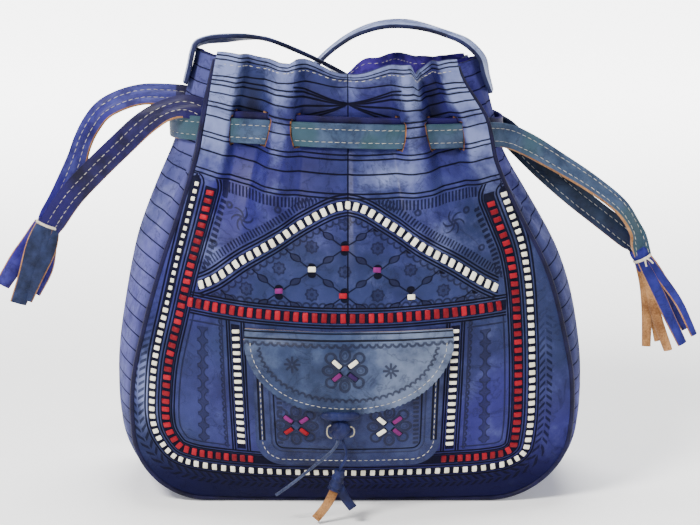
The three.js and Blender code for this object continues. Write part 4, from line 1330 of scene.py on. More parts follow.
def lay(name, kind, rows, look, turn, seed):
    """One piece from rows of (places, ways along, ways up, size of each), with places already swayed."""
    mesh = bpy.data.meshes.new(name)
    places, along, up = (np.concatenate([row[k] for row in rows]) for k in range(3))
    size = np.concatenate([np.tile(row[3], (len(row[0]), 1)) for row in rows]) * MM
    mesh.from_pydata((places * MM).tolist(), [], [])
    add_vectors(mesh, {"along": unit(along), "up": unit(up), "size": size})
    piece = add_object(name, mesh)
    modifier = piece.modifiers.new("lay", "NODES")
    modifier.node_group = LAYING[kind]
    items = LAYING[kind].interface.items_tree
    sockets = {item.name: item.identifier for item in items if item.in_out == "INPUT"}
    modifier[sockets["Look"]] = LOOK[look]
    modifier[sockets["Turn"]] = turn
    modifier[sockets["Seed"]] = seed
    apply_modifiers(piece)
    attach(piece, "root")


def spots_along(length, pitch):
    count = max(1, round(length / pitch))
    return (np.arange(count) + 0.5) * length / count


PATH_POINTS = 500
INSET_POINTS = 160
FIELD_POINTS = 420
FIELD_BATCH = 2000
LACE_RISE = 0.25


def picked(spots, run, values):
    """Rows of values at given lengths of a run."""
    return np.stack([np.interp(spots, run, column) for column in values.T], -1)


def front_row(path, pitch, size):
    """Places along a path of the front's pattern, sitting on the leather."""
    dense = spline(path, PATH_POINTS)
    u, level = find_on_front(dense[:, 0], dense[:, 1])
    surface = sway(panel_point(u, level, FRONT))
    run = lengths_along(surface)
    spots = spots_along(run[-1], pitch)
    along = picked(spots, run, np.gradient(surface, axis=0))
    u = np.interp(spots, run, u)
    level = np.interp(spots, run, level)
    up = panel_normal(u, level, FRONT)
    return sway(panel_point(u, level, FRONT) + up * (WALL / 2 + LACE_RISE)), along, up, size


def inset_path(path, inset):
    """A path moved to its left."""
    dense = spline(path, INSET_POINTS)
    way = unit(np.gradient(dense, axis=0))
    return dense + np.stack([-way[:, 1], way[:, 0]], -1) * inset


def path_field(path, x, v):
    """For each place: the distance from a path, positive on its left, and the run along it."""
    dense = spline(path, FIELD_POINTS)
    run = lengths_along(dense)
    way = unit(np.gradient(dense, axis=0))
    flat = np.stack([x.ravel(), v.ravel()], -1)
    batches = np.array_split(flat, max(1, len(flat) // FIELD_BATCH))
    nearest = np.concatenate([((part[:, None] - dense) ** 2).sum(-1).argmin(axis=1) for part in batches])
    offset = flat - dense[nearest]
    forward = (offset * way[nearest]).sum(-1)
    aside = way[nearest, 0] * offset[:, 1] - way[nearest, 1] * offset[:, 0]
    past = (nearest == 0) | (nearest == len(dense) - 1)
    far = np.where(past, np.hypot(forward, aside) * np.where(aside < 0, -1, 1), aside)
    return np.stack([far, run[nearest] + np.where(past, 0, forward), np.zeros(len(flat))], -1)


# Camera
VIEW_AIM = (1.36, 0, 152.6)
VIEW_FAR = 2200.0
VIEW_RISE = math.radians(14)
camera_data = bpy.data.cameras.new("camera")
camera_data.sensor_width = 36.0
camera_data.lens = 166.4
camera = add_object("camera", camera_data)
view_way = Vector((0, -math.cos(VIEW_RISE), math.sin(VIEW_RISE)))
camera.location = (view_way * VIEW_FAR + Vector(VIEW_AIM)) * MM
camera.rotation_euler = (math.pi / 2 - VIEW_RISE, 0, 0)
scene.camera = camera

# Pocket and flap forms, which the toggle hangs on
POCKET_BOTTOM = 34.0
POCKET_TOP = 113.0
POCKET_HALF_BOTTOM = 60.0
POCKET_HALF_TOP = 62.0
POCKET_CORNER = 18.0
POCKET_SWELL = 3.0
POCKET_FLATNESS = 2.5
POCKET_SEAT = WALL / 2 + FIT_GAP + POCKET_WALL / 2
FLAP_HALF = 67.0
FLAP_TOP = 128.0
FLAP_SIDE_DROP = 8.0
FLAP_DROP = 54.0
FLAP_POWER = 2.2
FLAP_WALL = 1.8
FLAP_SEAT = WALL / 2 + FIT_GAP + FLAP_WALL / 2
FLAP_HINGE = 12.0


def pocket_half(z):
    rise = np.asarray(z, float) - POCKET_BOTTOM
    plain = POCKET_HALF_BOTTOM + (POCKET_HALF_TOP - POCKET_HALF_BOTTOM) * rise / (POCKET_TOP - POCKET_BOTTOM)
    low = np.sqrt(np.maximum(0, POCKET_CORNER ** 2 - (POCKET_CORNER - rise) ** 2))
    return np.where(rise >= POCKET_CORNER, plain, plain - POCKET_CORNER + low)


def pocket_away(x, z):
    up = np.clip((z - POCKET_BOTTOM) / (POCKET_TOP - POCKET_BOTTOM), 0, 1)
    across = np.clip(np.abs(x) / pocket_half(np.minimum(z, POCKET_TOP)), 0, 1)
    return POCKET_SEAT + POCKET_SWELL * np.sin(up * math.pi / 2) * (1 - across ** POCKET_FLATNESS)


def flap_away(x, z):
    over = pocket_away(x, z) + POCKET_WALL / 2 + 2 * FIT_GAP + FLAP_WALL / 2
    return FLAP_SEAT + (over - FLAP_SEAT) * ease((FLAP_TOP - z) / FLAP_HINGE)


# Toggle: knot, rolled loop and the laces that hang from it
TOGGLE_X = -5.0
TOGGLE_Z = 65.0
KNOT_HALVES = np.array((7.6, 6.2, 6.4))
LOOP_HALF = 10.0
LOOP_RADIUS = 3.0
LACE_DIAMETER = 2.0
CORD_POINTS = 60
knot_away = float(pocket_away(TOGGLE_X, TOGGLE_Z)) + POCKET_WALL / 2 + FIT_GAP + KNOT_HALVES[1]
knot_at = on_front(TOGGLE_X, TOGGLE_Z, knot_away)
hang_y = knot_at[1]
hang_z = knot_at[2] - KNOT_HALVES[2] - FIT_GAP


def hanging(rows):
    """Route rows given from the middle of the knot and its foot."""
    rows = np.array(rows, float)
    rows[:, 1] += hang_y
    rows[:, 2] += hang_z
    return rows


def cord_curve(name, knots, look):
    curve = bpy.data.curves.new(name, "CURVE")
    curve.dimensions = "3D"
    curve.bevel_depth = LACE_DIAMETER / 2 * MM
    curve.bevel_resolution = 3
    curve.use_fill_caps = True
    curve.materials.append(LOOK[look])
    places = sway(spline(knots, CORD_POINTS)) * MM
    line = curve.splines.new("POLY")
    line.points.add(len(places) - 1)
    for point, place in zip(line.points, places):
        point.co = (*place, 1.0)
    return add_object(name, curve), places


LACE_KNOTS = hanging(
    [(-6.6, -0.4, 0), (-7.4, -1, -3), (-13, -3, -9), (-24, -4, -18), (-36, -4, -28), (-47.5, -3, -37)]
)
TAIL_KNOTS = hanging(
    [
        (-3.4, -0.4, 0), (-2.4, -0.8, -3), (-1, -2, -8), (-2, -2.6, -13), (-5, -3, -18.5), (-7, -3, -26.4),
        (-8.9, -3, -33),
    ]
)
STRIP_WIDTH = 6.0
STRIP_THICK = 1.8
END_ROUTE = Route(
    hanging([(-9.3, -3, -34.4), (-12.5, -3.6, -41), (-17, -4.6, -47.4), (-21.5, -5.6, -52.6)]), 24,
    [(0, -1, 0), (0.1, -1, 0), (0.2, -1, 0), (0.1, -1, 0)],
)
TAB_ROUTE = Route(
    hanging([(-6, -3.4, -30), (-2, -5, -38), (3.3, -6, -45)]), 18,
    [(0, -1, 0), (-0.1, -1, 0), (-0.2, -1, 0)],
)
WRAP_AT = hanging([(-7, -3, -26.4)])[0]
WRAP_LENGTH = 14.0
WRAP_TILT = math.radians(16)
WRAP_RINGS = 29
WRAP_SIDES = 26
WRAP_TURNS = 3.2
WRAP_RADIUS = 3.1
WRAP_FLARE = 1.1
WRAP_LAYER = 0.7
WRAP_LAYER_SHARE = 0.8
WRAP_LIP = 0.35
WRAP_LIP_FROM = 0.86
WRAP_LIP_SHARE = 0.14


def wrap_form():
    """The strip wound round the tail, wider at its foot."""
    down = np.array((-math.sin(WRAP_TILT), 0, -math.cos(WRAP_TILT)))
    right = np.array((math.cos(WRAP_TILT), 0, -math.sin(WRAP_TILT)))
    back = np.cross(down, right)
    t = np.linspace(0, 1, WRAP_RINGS)[:, None]
    turn = np.linspace(0, 2 * math.pi, WRAP_SIDES, endpoint=False)[None]
    layer = np.mod(t * WRAP_TURNS + turn / (2 * math.pi), 1)
    radius = WRAP_RADIUS + WRAP_FLARE * t + WRAP_LAYER * ease(layer / WRAP_LAYER_SHARE)
    radius = radius - WRAP_LIP * ease((layer - WRAP_LIP_FROM) / WRAP_LIP_SHARE)
    spread = right * (radius * np.cos(turn))[..., None] + back * (radius * np.sin(turn))[..., None]
    places = WRAP_AT + down * ((t - 0.5) * WRAP_LENGTH)[..., None] + spread
    return places.reshape(-1, 3), bar_faces(WRAP_RINGS, WRAP_SIDES)


lace, lace_line = cord_curve("toggle_lace", LACE_KNOTS, "thin_lace")
settle(lace, "knot_leather", "toggle_lace")
tail, tail_line = cord_curve("toggle_tail", TAIL_KNOTS, "knot_leather")
settle(tail, "knot_leather", "toggle_tail")
tab_section, tab_edges = sewn_section(STRIP_WIDTH, STRIP_THICK)
wrap_points, wrap_faces, _ = joined([(*wrap_form(), 0), (*TAB_ROUTE.bar(tab_section), 0)])
wrap = add_mesh("tail_wrap", wrap_points, wrap_faces, ["knot_leather"])
settle(wrap, "knot_leather", "tail_wrap")
tail_end = strap_piece("tail_end", END_ROUTE, tab_section, tab_edges, ["raw_edge", "raw_edge"])
settle(tail_end, "raw_leather", "tail_end")
lengths_along(lace_line)[-1]
lengths_along(tail_line)[-1]


KNOT_RINGS = 37
KNOT_SIDES = 72
KNOT_POLES = (math.radians(4), math.radians(176))
BAND_TURNS = 1.5
BAND_WAVE = 1.1
BAND_START = 0.6
BAND_GROOVE = 0.16
KNOT_PLEATS = 6
KNOT_PLEAT_DEPTH = 0.05


def knot_form():
    """A leather strip rolled into a ball, with its turns showing."""
    polar = np.linspace(*KNOT_POLES, KNOT_RINGS)[:, None]
    turn = np.linspace(0, 2 * math.pi, KNOT_SIDES, endpoint=False)[None]
    bands = np.abs(np.sin(BAND_TURNS * turn + BAND_WAVE * np.sin(2 * polar) + BAND_START))
    pleats = KNOT_PLEAT_DEPTH * np.abs(np.sin(KNOT_PLEATS * turn)) ** 3 * np.sin(polar)
    swell = 1 - BAND_GROOVE * (1 - bands) ** 3 - pleats
    wide = np.sin(polar) * swell
    ball = np.stack([wide * np.cos(turn), wide * np.sin(turn), -np.cos(polar) * swell], -1)
    return (knot_at + ball * KNOT_HALVES).reshape(-1, 3), bar_faces(KNOT_RINGS, KNOT_SIDES)


SIDE_LOOP = ((6.4, -2.6, 4.2), (8.3, -3.2, 3.2), (9, -3.2, 0), (8.2, -3.2, -3.2), (6, -2.6, -4.8))
SIDE_LOOP_RADIUS = 0.45
SIDE_LOOP_POINTS = 22
SIDE_LOOP_SIDES = 6


def side_loop(side, round_by):
    """A thin pale lace that loops out beside the knot."""
    rows = np.array(SIDE_LOOP) * (side, 1, round_by) + knot_at
    route = Route(rows, SIDE_LOOP_POINTS, np.tile((0.0, -1, 0), (len(rows), 1)))
    return route.bar(round_section(SIDE_LOOP_RADIUS, SIDE_LOOP_SIDES))


LEFT_LOOP_ROUND = 1.0
RIGHT_LOOP_ROUND = 0.8
knot_parts = [(*knot_form(), 0), (*side_loop(-1, LEFT_LOOP_ROUND), 1), (*side_loop(1, RIGHT_LOOP_ROUND), 1)]
knot_points, knot_faces, knot_looks = joined(knot_parts)
knot = add_mesh("toggle_knot", knot_points, knot_faces, ["knot_leather", "frayed_lace"], knot_looks)
settle(knot, "knot_leather", "toggle_knot")


LOOP_STATIONS = 41
LOOP_SIDES = 18
LOOP_LIFT = 0.8
LOOP_END_POWER = 5
LOOP_SMALLEST = 0.02
LOOP_CREASES = 9
LOOP_CREASE_DEPTH = 0.1
LOOP_CREASE_POWER = 6


def loop_form(at):
    """The rolled loop over the knot, creased across its length."""
    t = np.linspace(-1, 1, LOOP_STATIONS)
    x = at[0] + t * (LOOP_HALF + LOOP_RADIUS)
    places = np.stack([x, np.full(LOOP_STATIONS, at[1]), at[2] + LOOP_LIFT * t ** 2], -1)
    route = Route(places, LOOP_STATIONS, np.tile((0, -1.0, 0), (LOOP_STATIONS, 1)))
    girth = np.sqrt(np.maximum(LOOP_SMALLEST, 1 - np.abs(t) ** LOOP_END_POWER))
    girth = girth * (1 - LOOP_CREASE_DEPTH * np.abs(np.sin(LOOP_CREASES * t)) ** LOOP_CREASE_POWER)
    return route.bar(round_section(LOOP_RADIUS, LOOP_SIDES), girth)


flap_foot = FLAP_TOP - FLAP_DROP
loop_away = float(flap_away(TOGGLE_X, flap_foot)) + FLAP_WALL / 2 + FIT_GAP + LOOP_RADIUS
loop_at = on_front(TOGGLE_X, flap_foot, loop_away)
loop_at[2] = knot_at[2] + KNOT_HALVES[2] + FIT_GAP + LOOP_RADIUS
loop_points, loop_faces = loop_form(loop_at)
loop = add_mesh("flap_loop", loop_points, loop_faces, ["knot_leather"])
settle(loop, "knot_leather", "flap_loop")

# Tie straps: flat sewn straps through the slits of the neck
TIE_WIDTH = 16.5
TIE_THICK = 2.4
TIE_LAYER = 1.45
RIGHT_TIE_ROW = 4.3
LEFT_TIE_ROW = 3.0
TIE_PITCH = 4.4
TIE_STITCH = (3.6, 0.38, 0.55)
RIGHT_TIE_Z = 250.0
LEFT_TIE_Z = 254.0
LOOP_SLIP = 4.0
SLIT_WIDER = 2.0
SLIT_THICKER = 1.0
SLIT_POINTS = 160
TIE_POINTS = 330
RING_STEP_DEG = 10
SLIP_POWER = 4
RIGHT_RING_DEG = (-38, -322)
LEFT_RING_DEG = (-135, 135)
END_REACH = 16.0
END_GIRTH = 0.74
NECK_HALF = 108.0
STITCH_SINK = 0.2
TIE_STITCH_TURN = 0.08
TIE_STITCH_SEED = 3

# Loose halves of the straps: x, y, z, and the way that the face looks
RIGHT_FRONT = [
    (199, -2, 168, 0.4, -0.8, 0.2), (196, -4, 178, 0.6, -0.6, 0.4), (188, -7, 193, 0.4, -0.6, 0.6),
    (170, -9, 210, 0.2, -0.65, 0.7), (145, -10, 228, 0.1, -0.75, 0.6), (126, -11, 240, 0.1, -0.9, 0.4),
    (111, -16, 247, 0.4, -0.9, 0.1),
]
RIGHT_BACK = [
    (111, 15, 246, 0.4, 0.9, 0), (122, 9, 236, 0.1, 1, 0.1), (138, 5, 219.5, 0, 1, 0.2),
    (157, 4, 201, -0.1, 1, 0.2), (175, 4, 185, -0.1, 1, 0.1), (190, 3, 172, 0, 1, 0),
    (197, 2, 166, 0.1, 1, 0),
]
LEFT_FRONT = [
    (-198.5, -2, 178, 0, -1, 0), (-193, -3.5, 186, 0, -1, 0.1), (-182, -6, 200, 0, -1, 0.1),
    (-166, -9, 216, 0, -1, 0.1), (-148, -12, 233, 0, -0.95, 0.25), (-130, -14, 249.5, -0.1, -0.8, 0.5),
    (-116, -15, 258, -0.2, -0.7, 0.65), (-103, -17, 261, -0.35, -0.75, 0.5),
    (-91, -22.6, 258, -0.5, -0.85, 0.1),
]
LEFT_BACK = [
    (-91, 22.6, 258, -0.5, 0.85, -0.1), (-103, 17, 261, -0.35, 0.75, -0.5),
    (-117, 15.5, 262.5, -0.2, 0.75, -0.65),
    (-132, 14, 263, 0, 0.72, -0.7), (-146, 12, 260, 0.2, 0.75, -0.65), (-159, 10, 253.5, 0.45, 0.75, -0.45),
    (-167, 8, 244, 0.6, 0.75, -0.15), (-173, 6, 233, 0.65, 0.75, 0), (-177.5, 5, 221, 0.6, 0.8, 0.1),
    (-183, 4, 209, 0.45, 0.9, 0.1), (-191, 3, 194, 0.2, 1, 0), (-201, 2, 178, 0, 1, 0),
]


def ring_rows(from_deg, to_deg, layer, z, far_side):
    """The strap's way round the neck."""
    count = round(abs(to_deg - from_deg) / RING_STEP_DEG)
    turn = np.radians(np.linspace(from_deg, to_deg, count + 1))
    face = unit(np.stack([np.cos(turn) / RING_HALF_X, np.sin(turn) / RING_HALF_Y], -1))
    x = RING_HALF_X * np.cos(turn) + layer * face[:, 0]
    y = RING_HALF_Y * np.sin(turn) + layer * face[:, 1]
    slip = LOOP_SLIP * np.clip(far_side * np.cos(turn), 0, 1) ** SLIP_POWER
    return np.stack([x, y, z - slip, face[:, 0], face[:, 1], np.zeros(len(turn))], -1).tolist()


def split_route(rows, count):
    rows = np.array(rows, float)
    return Route(rows[:, :3], count, rows[:, 3:])


right_rows = RIGHT_FRONT + ring_rows(*RIGHT_RING_DEG, TIE_LAYER, RIGHT_TIE_Z, -1) + RIGHT_BACK
left_rows = LEFT_FRONT + ring_rows(*LEFT_RING_DEG, -TIE_LAYER, LEFT_TIE_Z, 1) + LEFT_BACK
RIGHT_TUCKS = [(201.2, -1.4, 158.5, 0.1, -1, 0)], [(200.6, 1.4, 157.8, 0.1, 1, 0)]
LEFT_TUCKS = [(-202.4, -1.6, 169.5, 0, -1, 0)], [(-203.4, 1.6, 169.5, 0, 1, 0)]
right_route = split_route(RIGHT_TUCKS[0] + right_rows + RIGHT_TUCKS[1], TIE_POINTS)
left_route = split_route(LEFT_TUCKS[0] + left_rows + LEFT_TUCKS[1], TIE_POINTS)

# The two straps: name, route, place of stitch rows, side of the raw edge, look and slot, the last half's look
TIES = (
    ("right", right_route, RIGHT_TIE_ROW, 1, "teal_strap", "deep_teal"),
    ("left", left_route, LEFT_TIE_ROW, -1, "violet_strap", "bright_violet"),
)


def narrowed_ends(route):
    from_end = np.minimum(route.run, route.run[-1] - route.run)
    return END_GIRTH + (1 - END_GIRTH) * ease(from_end / END_REACH)


def strap_stitches(route, row_at):
    """Stitch rows on both faces of a tie strap."""
    rows = []
    for face in (-1, 1):
        for row in (-row_at, row_at):
            place, along, side, out = route.at(spots_along(route.run[-1], TIE_PITCH))
            lifted = place + side * row + out * face * (TIE_THICK / 2 - STITCH_SINK)
            rows.append((sway(lifted), along, out * face, TIE_STITCH))
    return rows


for tie_name, tie_route, row_at, raw_side, tie_slot, last_look in TIES:
    tie_section, tie_edges = sewn_section(TIE_WIDTH, TIE_THICK, row_at)
    raw = [edge and across * raw_side > 0 for edge, (across, _) in zip(tie_edges, tie_section)]
    tie_looks = [tie_slot, "raw_edge", last_look]
    tie_girth = narrowed_ends(tie_route)
    node = "tie_strap_" + tie_name
    tie_strap = strap_piece(node, tie_route, tie_section, raw, tie_looks, tie_girth, NECK_HALF)
    settle(tie_strap, tie_slot, node)
for tie_name, tie_route, row_at, *_ in TIES[::-1]:
    sewn = strap_stitches(tie_route, row_at)
    lay("tie_stitches_" + tie_name, "thread", sewn, "thread", TIE_STITCH_TURN, TIE_STITCH_SEED)

# Panels and gusset, with the slits cut by the straps
cutters = []
for slit_rows in (right_rows, left_rows):
    slit_section = flat_section(TIE_WIDTH + SLIT_WIDER, TIE_THICK + SLIT_THICKER)
    bar_points, bar = split_route(slit_rows, SLIT_POINTS).bar(slit_section)
    cutters.append(add_mesh("slit_cutter", bar_points, bar, ["raw_edge"]))


def cut_slits(piece):
    for cutter in cutters:
        slit = piece.modifiers.new("slit", "BOOLEAN")
        slit.operation = "DIFFERENCE"
        slit.solver = "MANIFOLD"
        slit.material_mode = "TRANSFER"
        slit.object = cutter
    apply_modifiers(piece)


# Laced paths on the front: x, height
WHITE_PATH = [
    (-99.5, 217), (-106, 192.5), (-113.5, 165), (-120.3, 137), (-128, 103), (-130.3, 80), (-130.5, 63),
    (-128.5, 52.5), (-123.5, 43.3), (-116.5, 36), (-104.5, 32.5), (-88, 31.5), (-67, 31.5), (0, 33),
    (66, 31.5), (89, 31), (106, 32.4), (114.7, 36.5), (118.5, 41), (120.3, 49), (121.8, 65), (122, 100),
    (121, 130), (119, 157), (115, 180), (108.5, 198.3), (102.3, 214.5),
]
GABLE_PATH = [
    (-99, 154), (-88, 160.5), (-71, 174.5), (-50, 190), (-27, 206.5), (-10, 216), (0, 218), (10, 216),
    (28, 205), (51, 187.5), (71, 173.5), (88, 160.8), (99, 154),
]

# Places on the front that catch the light, or lie in a hollow: x, height, reach across, reach up, amount
SHEEN = (
    (27, 236, 20, 11, 0.6), (-20, 238, 16, 13, -0.4), (-22, 276, 15, 22, -0.9), (-86, 280, 12, 24, 0.3),
    (22, 276, 18, 18, -0.5), (-134, 78, 6, 24, 0.7), (-92, 176, 14, 18, 0.3), (62, 192, 16, 12, 0.3),
    (-63, 273, 8, 26, -1.0), (56, 273, 7, 26, -1.1), (-104, 120, 10, 34, -0.3), (40, 282, 7, 18, 0.2),
)


def sheen(x, v):
    total = 0 * x
    for at_x, at_v, reach_x, reach_v, amount in SHEEN:
        total = total + amount * np.exp(-(((x - at_x) / reach_x) ** 2) - ((v - at_v) / reach_v) ** 2)
    return total


def slit_gap(u, level):
    """How far the leather's face stands in front of the strap's slit."""
    ring_x = np.clip(u * (body("seam_x", NECK_Z) - SEAM_SETBACK) / RING_HALF_X, -1, 1)
    ring = RING_HALF_Y * np.sqrt(1 - ring_x ** 2) + TIE_LAYER + (TIE_THICK + SLIT_THICKER) / 2
    return panel_depth(u, level) + soft_lift(u, level) + WALL / 2 - ring


SEAM_CLOSING = 0.6
COLLAR_CLOSING = 1.3
CLOSING_FROM_U = 0.9
CLOSING_OVER_U = 0.1
GUSSET_SETBACK = 1.5

# Paler places of the panels: painted highlights on the fold ridges, most at the strap, and on the collar; the
# rim is paler too
RIDGE_HIGHLIGHT = 0.25
RIDGE_HEIGHT = 6.0
RIDGE_POWER = 2.5
STRAP_HIGHLIGHT = 0.4
STRAP_HIGHLIGHT_HALF = 13.0
RIM_WEAR = 0.2
RIM_WEAR_Z = 290.0
RIM_WEAR_OVER = 10.0
COLLAR_HIGHLIGHT = 0.42
COLLAR_HIGHLIGHT_Z = 262.0
COLLAR_HIGHLIGHT_OVER = 14.0

# Grids of the panels: columns, rows round the lower corners, rows above
FRONT_GRID = (161, 24, 150)
BACK_GRID = (101, 18, 84)


def panel_levels(corner_rows, rows):
    """Heights of a panel's rows, close together round the lower corners."""
    turn = np.linspace(0, math.pi / 2, corner_rows, endpoint=False)
    low = CORNER_TOP - (CORNER_RADIUS - SEAM_SETBACK) * np.cos(turn)
    return np.concatenate([low, np.linspace(CORNER_TOP, RIM_Z, rows)])


def panel(name, side, grid_size, look):
    columns, corner_rows, rows = grid_size
    u, level = np.meshgrid(np.linspace(-1, 1, columns) * -side, panel_levels(corner_rows, rows))
    grid = panel_point(u, level, side)
    x = sway(grid)[..., 0]
    v = pattern_height(u, level)
    # Painted highlights on the fold ridges, most at the strap, and on the collar, a paler rim, and on the
    # front the painted light and shade of the SHEEN spots
    ridges = np.clip(folds(PANEL_FOLDS, np.abs(u)) * gather(level) / RIDGE_HEIGHT, 0, 1)
    at_strap = np.exp(-(((level - RIGHT_TIE_Z) / STRAP_HIGHLIGHT_HALF) ** 2))
    wear_and_shading = (RIDGE_HIGHLIGHT + STRAP_HIGHLIGHT * at_strap) * ridges ** RIDGE_POWER
    wear_and_shading = wear_and_shading + RIM_WEAR * ease((level - RIM_WEAR_Z) / RIM_WEAR_OVER)
    wear_and_shading = wear_and_shading + COLLAR_HIGHLIGHT * ease((level - COLLAR_HIGHLIGHT_Z) / COLLAR_HIGHLIGHT_OVER)
    marks = {"border": path_field(WHITE_PATH, x * -side, v)}
    if side == FRONT:
        wear_and_shading = wear_and_shading + sheen(x, v)
        marks["gable"] = path_field(GABLE_PATH, x, v)
        marks["slit"] = np.stack([slit_gap(u, level), level - RIGHT_TIE_Z, 0 * u], -1)
    marks["place"] = np.stack([x, v, wear_and_shading], -1)
    closing = SEAM_CLOSING + COLLAR_CLOSING * ease((level - NECK_Z) / (RIM_Z - NECK_Z))
    grid[..., 0] += np.sign(u) * closing * ease((np.abs(u) - CLOSING_FROM_U) / CLOSING_OVER_U)
    piece = shell(name, grid, WALL, [look, "inside_leather", "edge_leather"], marks)
    cut_slits(piece)
    return piece


front = panel("front_panel", FRONT, FRONT_GRID, "front_leather")
settle(front, "front_leather", "front_panel")
back = panel("back_panel", BACK, BACK_GRID, "back_leather")
settle(back, "body_leather", "back_panel")
SEAM_TOP_Z = 296.0
BASE_PLAY = 1e-6
GUSSET_RISE = 0.5

# Rows of the seam line: down a side, round a corner, along the base
GUSSET_ROWS = (124, 26, 40)
WELT_ROWS = (80, 26, 24)
GUSSET_COLUMNS = 41
WELT_SIDES = 10
GUSSET_WEAR = 0.1
GUSSET_SHADE = 0.8
GUSSET_SHADE_OVER = 13.0
GUSSET_HIGH_SHADE = 0.2
GUSSET_HIGH_Z = 200.0
GUSSET_HIGH_OVER = 50.0


def seam_line(side_rows, corner_rows, base_rows):
    """The seam in the front view: down the left side, along the base and up the right side."""
    side_z = np.linspace(SEAM_TOP_Z, CORNER_TOP, side_rows, endpoint=False)
    turn = np.linspace(0, math.pi / 2, corner_rows, endpoint=False)
    corner_z = CORNER_TOP - CORNER_RADIUS * np.sin(turn)
    z = np.concatenate([side_z, corner_z])
    x = np.concatenate([body("seam_x", side_z), outline_half(corner_z, 0)])
    base_x = np.linspace(-BASE_HALF, BASE_HALF, base_rows)
    left = np.stack([-x, z], -1)
    base = np.stack([base_x, np.full(base_rows, SEAM_BOTTOM)], -1)
    right = np.stack([x, z], -1)[::-1]
    return np.concatenate([left, base, right])


def gusset_grid(line, columns):
    along = unit(np.gradient(line, axis=0))
    on_base = line[:, 1] <= SEAM_BOTTOM + BASE_PLAY
    out = np.where(on_base[:, None], (0.0, -1.0), np.stack([along[:, 1], -along[:, 0]], -1))
    s = np.linspace(-1, 1, columns)[None]
    z = line[:, 1:]
    push = np.minimum(gusset_push(s, z), SEAT_DROP + GUSSET_RISE * (z - SEAM_BOTTOM))
    push = np.where(on_base[:, None], SEAT_DROP, push)
    depth = s * (body("seam_y", z) - GUSSET_SETBACK)
    return np.stack([line[:, :1] + out[:, :1] * push, depth, z + out[:, 1:] * push], -1)


gusset_line = seam_line(*GUSSET_ROWS)
gusset_points = gusset_grid(gusset_line, GUSSET_COLUMNS)
gusset_run = np.broadcast_to(lengths_along(gusset_line)[:, None], gusset_points.shape[:2])
gusset_front = gusset_points[..., 1] + body("seam_y", gusset_points[..., 2])
# Painted shade on the gusset along the front seam and over its upper part
gusset_high = ease((gusset_points[..., 2] - GUSSET_HIGH_Z) / GUSSET_HIGH_OVER)
gusset_shade = GUSSET_SHADE * (1 - ease(gusset_front / GUSSET_SHADE_OVER))
gusset_wear_and_shade = GUSSET_WEAR - gusset_shade - GUSSET_HIGH_SHADE * gusset_high
gusset_marks = {"place": np.stack([gusset_run, gusset_points[..., 1], gusset_wear_and_shade], -1)}
gusset_looks = ["gusset_leather", "inside_leather", "edge_leather"]
gusset = shell("gusset", gusset_points, WALL, gusset_looks, gusset_marks)
cut_slits(gusset)
settle(gusset, "body_leather", "gusset")
for cutter in cutters:
    bpy.data.objects.remove(cutter)

# Welts in the two seams
for welt_name, welt_side in (("front_welt", FRONT), ("back_welt", BACK)):
    welt_line = seam_line(*WELT_ROWS)
    welt_y = welt_side * body("seam_y", welt_line[:, 1])
    welt_places = np.stack([welt_line[:, 0], welt_y, welt_line[:, 1]], -1)
    welt_route = Route(welt_places, len(welt_places), np.tile((0.0, welt_side, 0), (len(welt_places), 1)))
    welt_points, welt_faces = welt_route.bar(round_section(WELT_RADIUS, WELT_SIDES))
    welt = add_mesh(welt_name, welt_points, welt_faces, ["welt_leather"])
    settle(welt, "welt_leather", welt_name)

# Pocket and flap
POCKET_CORNER_ROWS = 14
POCKET_ROWS = 44
POCKET_COLUMNS = 77
POCKET_FOOT_HALF = 40.0
POCKET_FOOT_POINTS = 20
POCKET_WEAR = 0.12
pocket_turn = np.linspace(0, math.pi / 2, POCKET_CORNER_ROWS, endpoint=False)
pocket_low = POCKET_BOTTOM + POCKET_CORNER * (1 - np.cos(pocket_turn))
pocket_high = np.linspace(POCKET_BOTTOM + POCKET_CORNER, POCKET_TOP, POCKET_ROWS)
pocket_z = np.concatenate([pocket_low, pocket_high])
pocket_edge_x = pocket_half(pocket_z)
pocket_x = pocket_edge_x[:, None] * np.linspace(-1, 1, POCKET_COLUMNS)[None]
pocket_rows = np.broadcast_to(pocket_z[:, None], pocket_x.shape)
pocket_foot_x = np.linspace(-POCKET_FOOT_HALF, POCKET_FOOT_HALF, POCKET_FOOT_POINTS)
pocket_left = np.stack([-pocket_edge_x, pocket_z], -1)[::-1]
pocket_foot = np.stack([pocket_foot_x, np.full(POCKET_FOOT_POINTS, POCKET_BOTTOM)], -1)
pocket_right = np.stack([pocket_edge_x, pocket_z], -1)
POCKET_EDGE = np.concatenate([pocket_left, pocket_foot, pocket_right])
pocket_marks = {
    "place": np.stack([pocket_x, pocket_rows, np.full(pocket_x.shape, POCKET_WEAR)], -1),
    "edge": path_field(POCKET_EDGE, pocket_x, pocket_rows),
}
pocket_grid = on_front(pocket_x, pocket_rows, pocket_away(pocket_x, pocket_rows))
pocket_looks = ["pocket_leather", "inside_leather", "raw_edge"]
pocket = shell("pocket_body", pocket_grid, POCKET_WALL, pocket_looks, pocket_marks)
settle(pocket, "pocket_leather", "pocket_body")

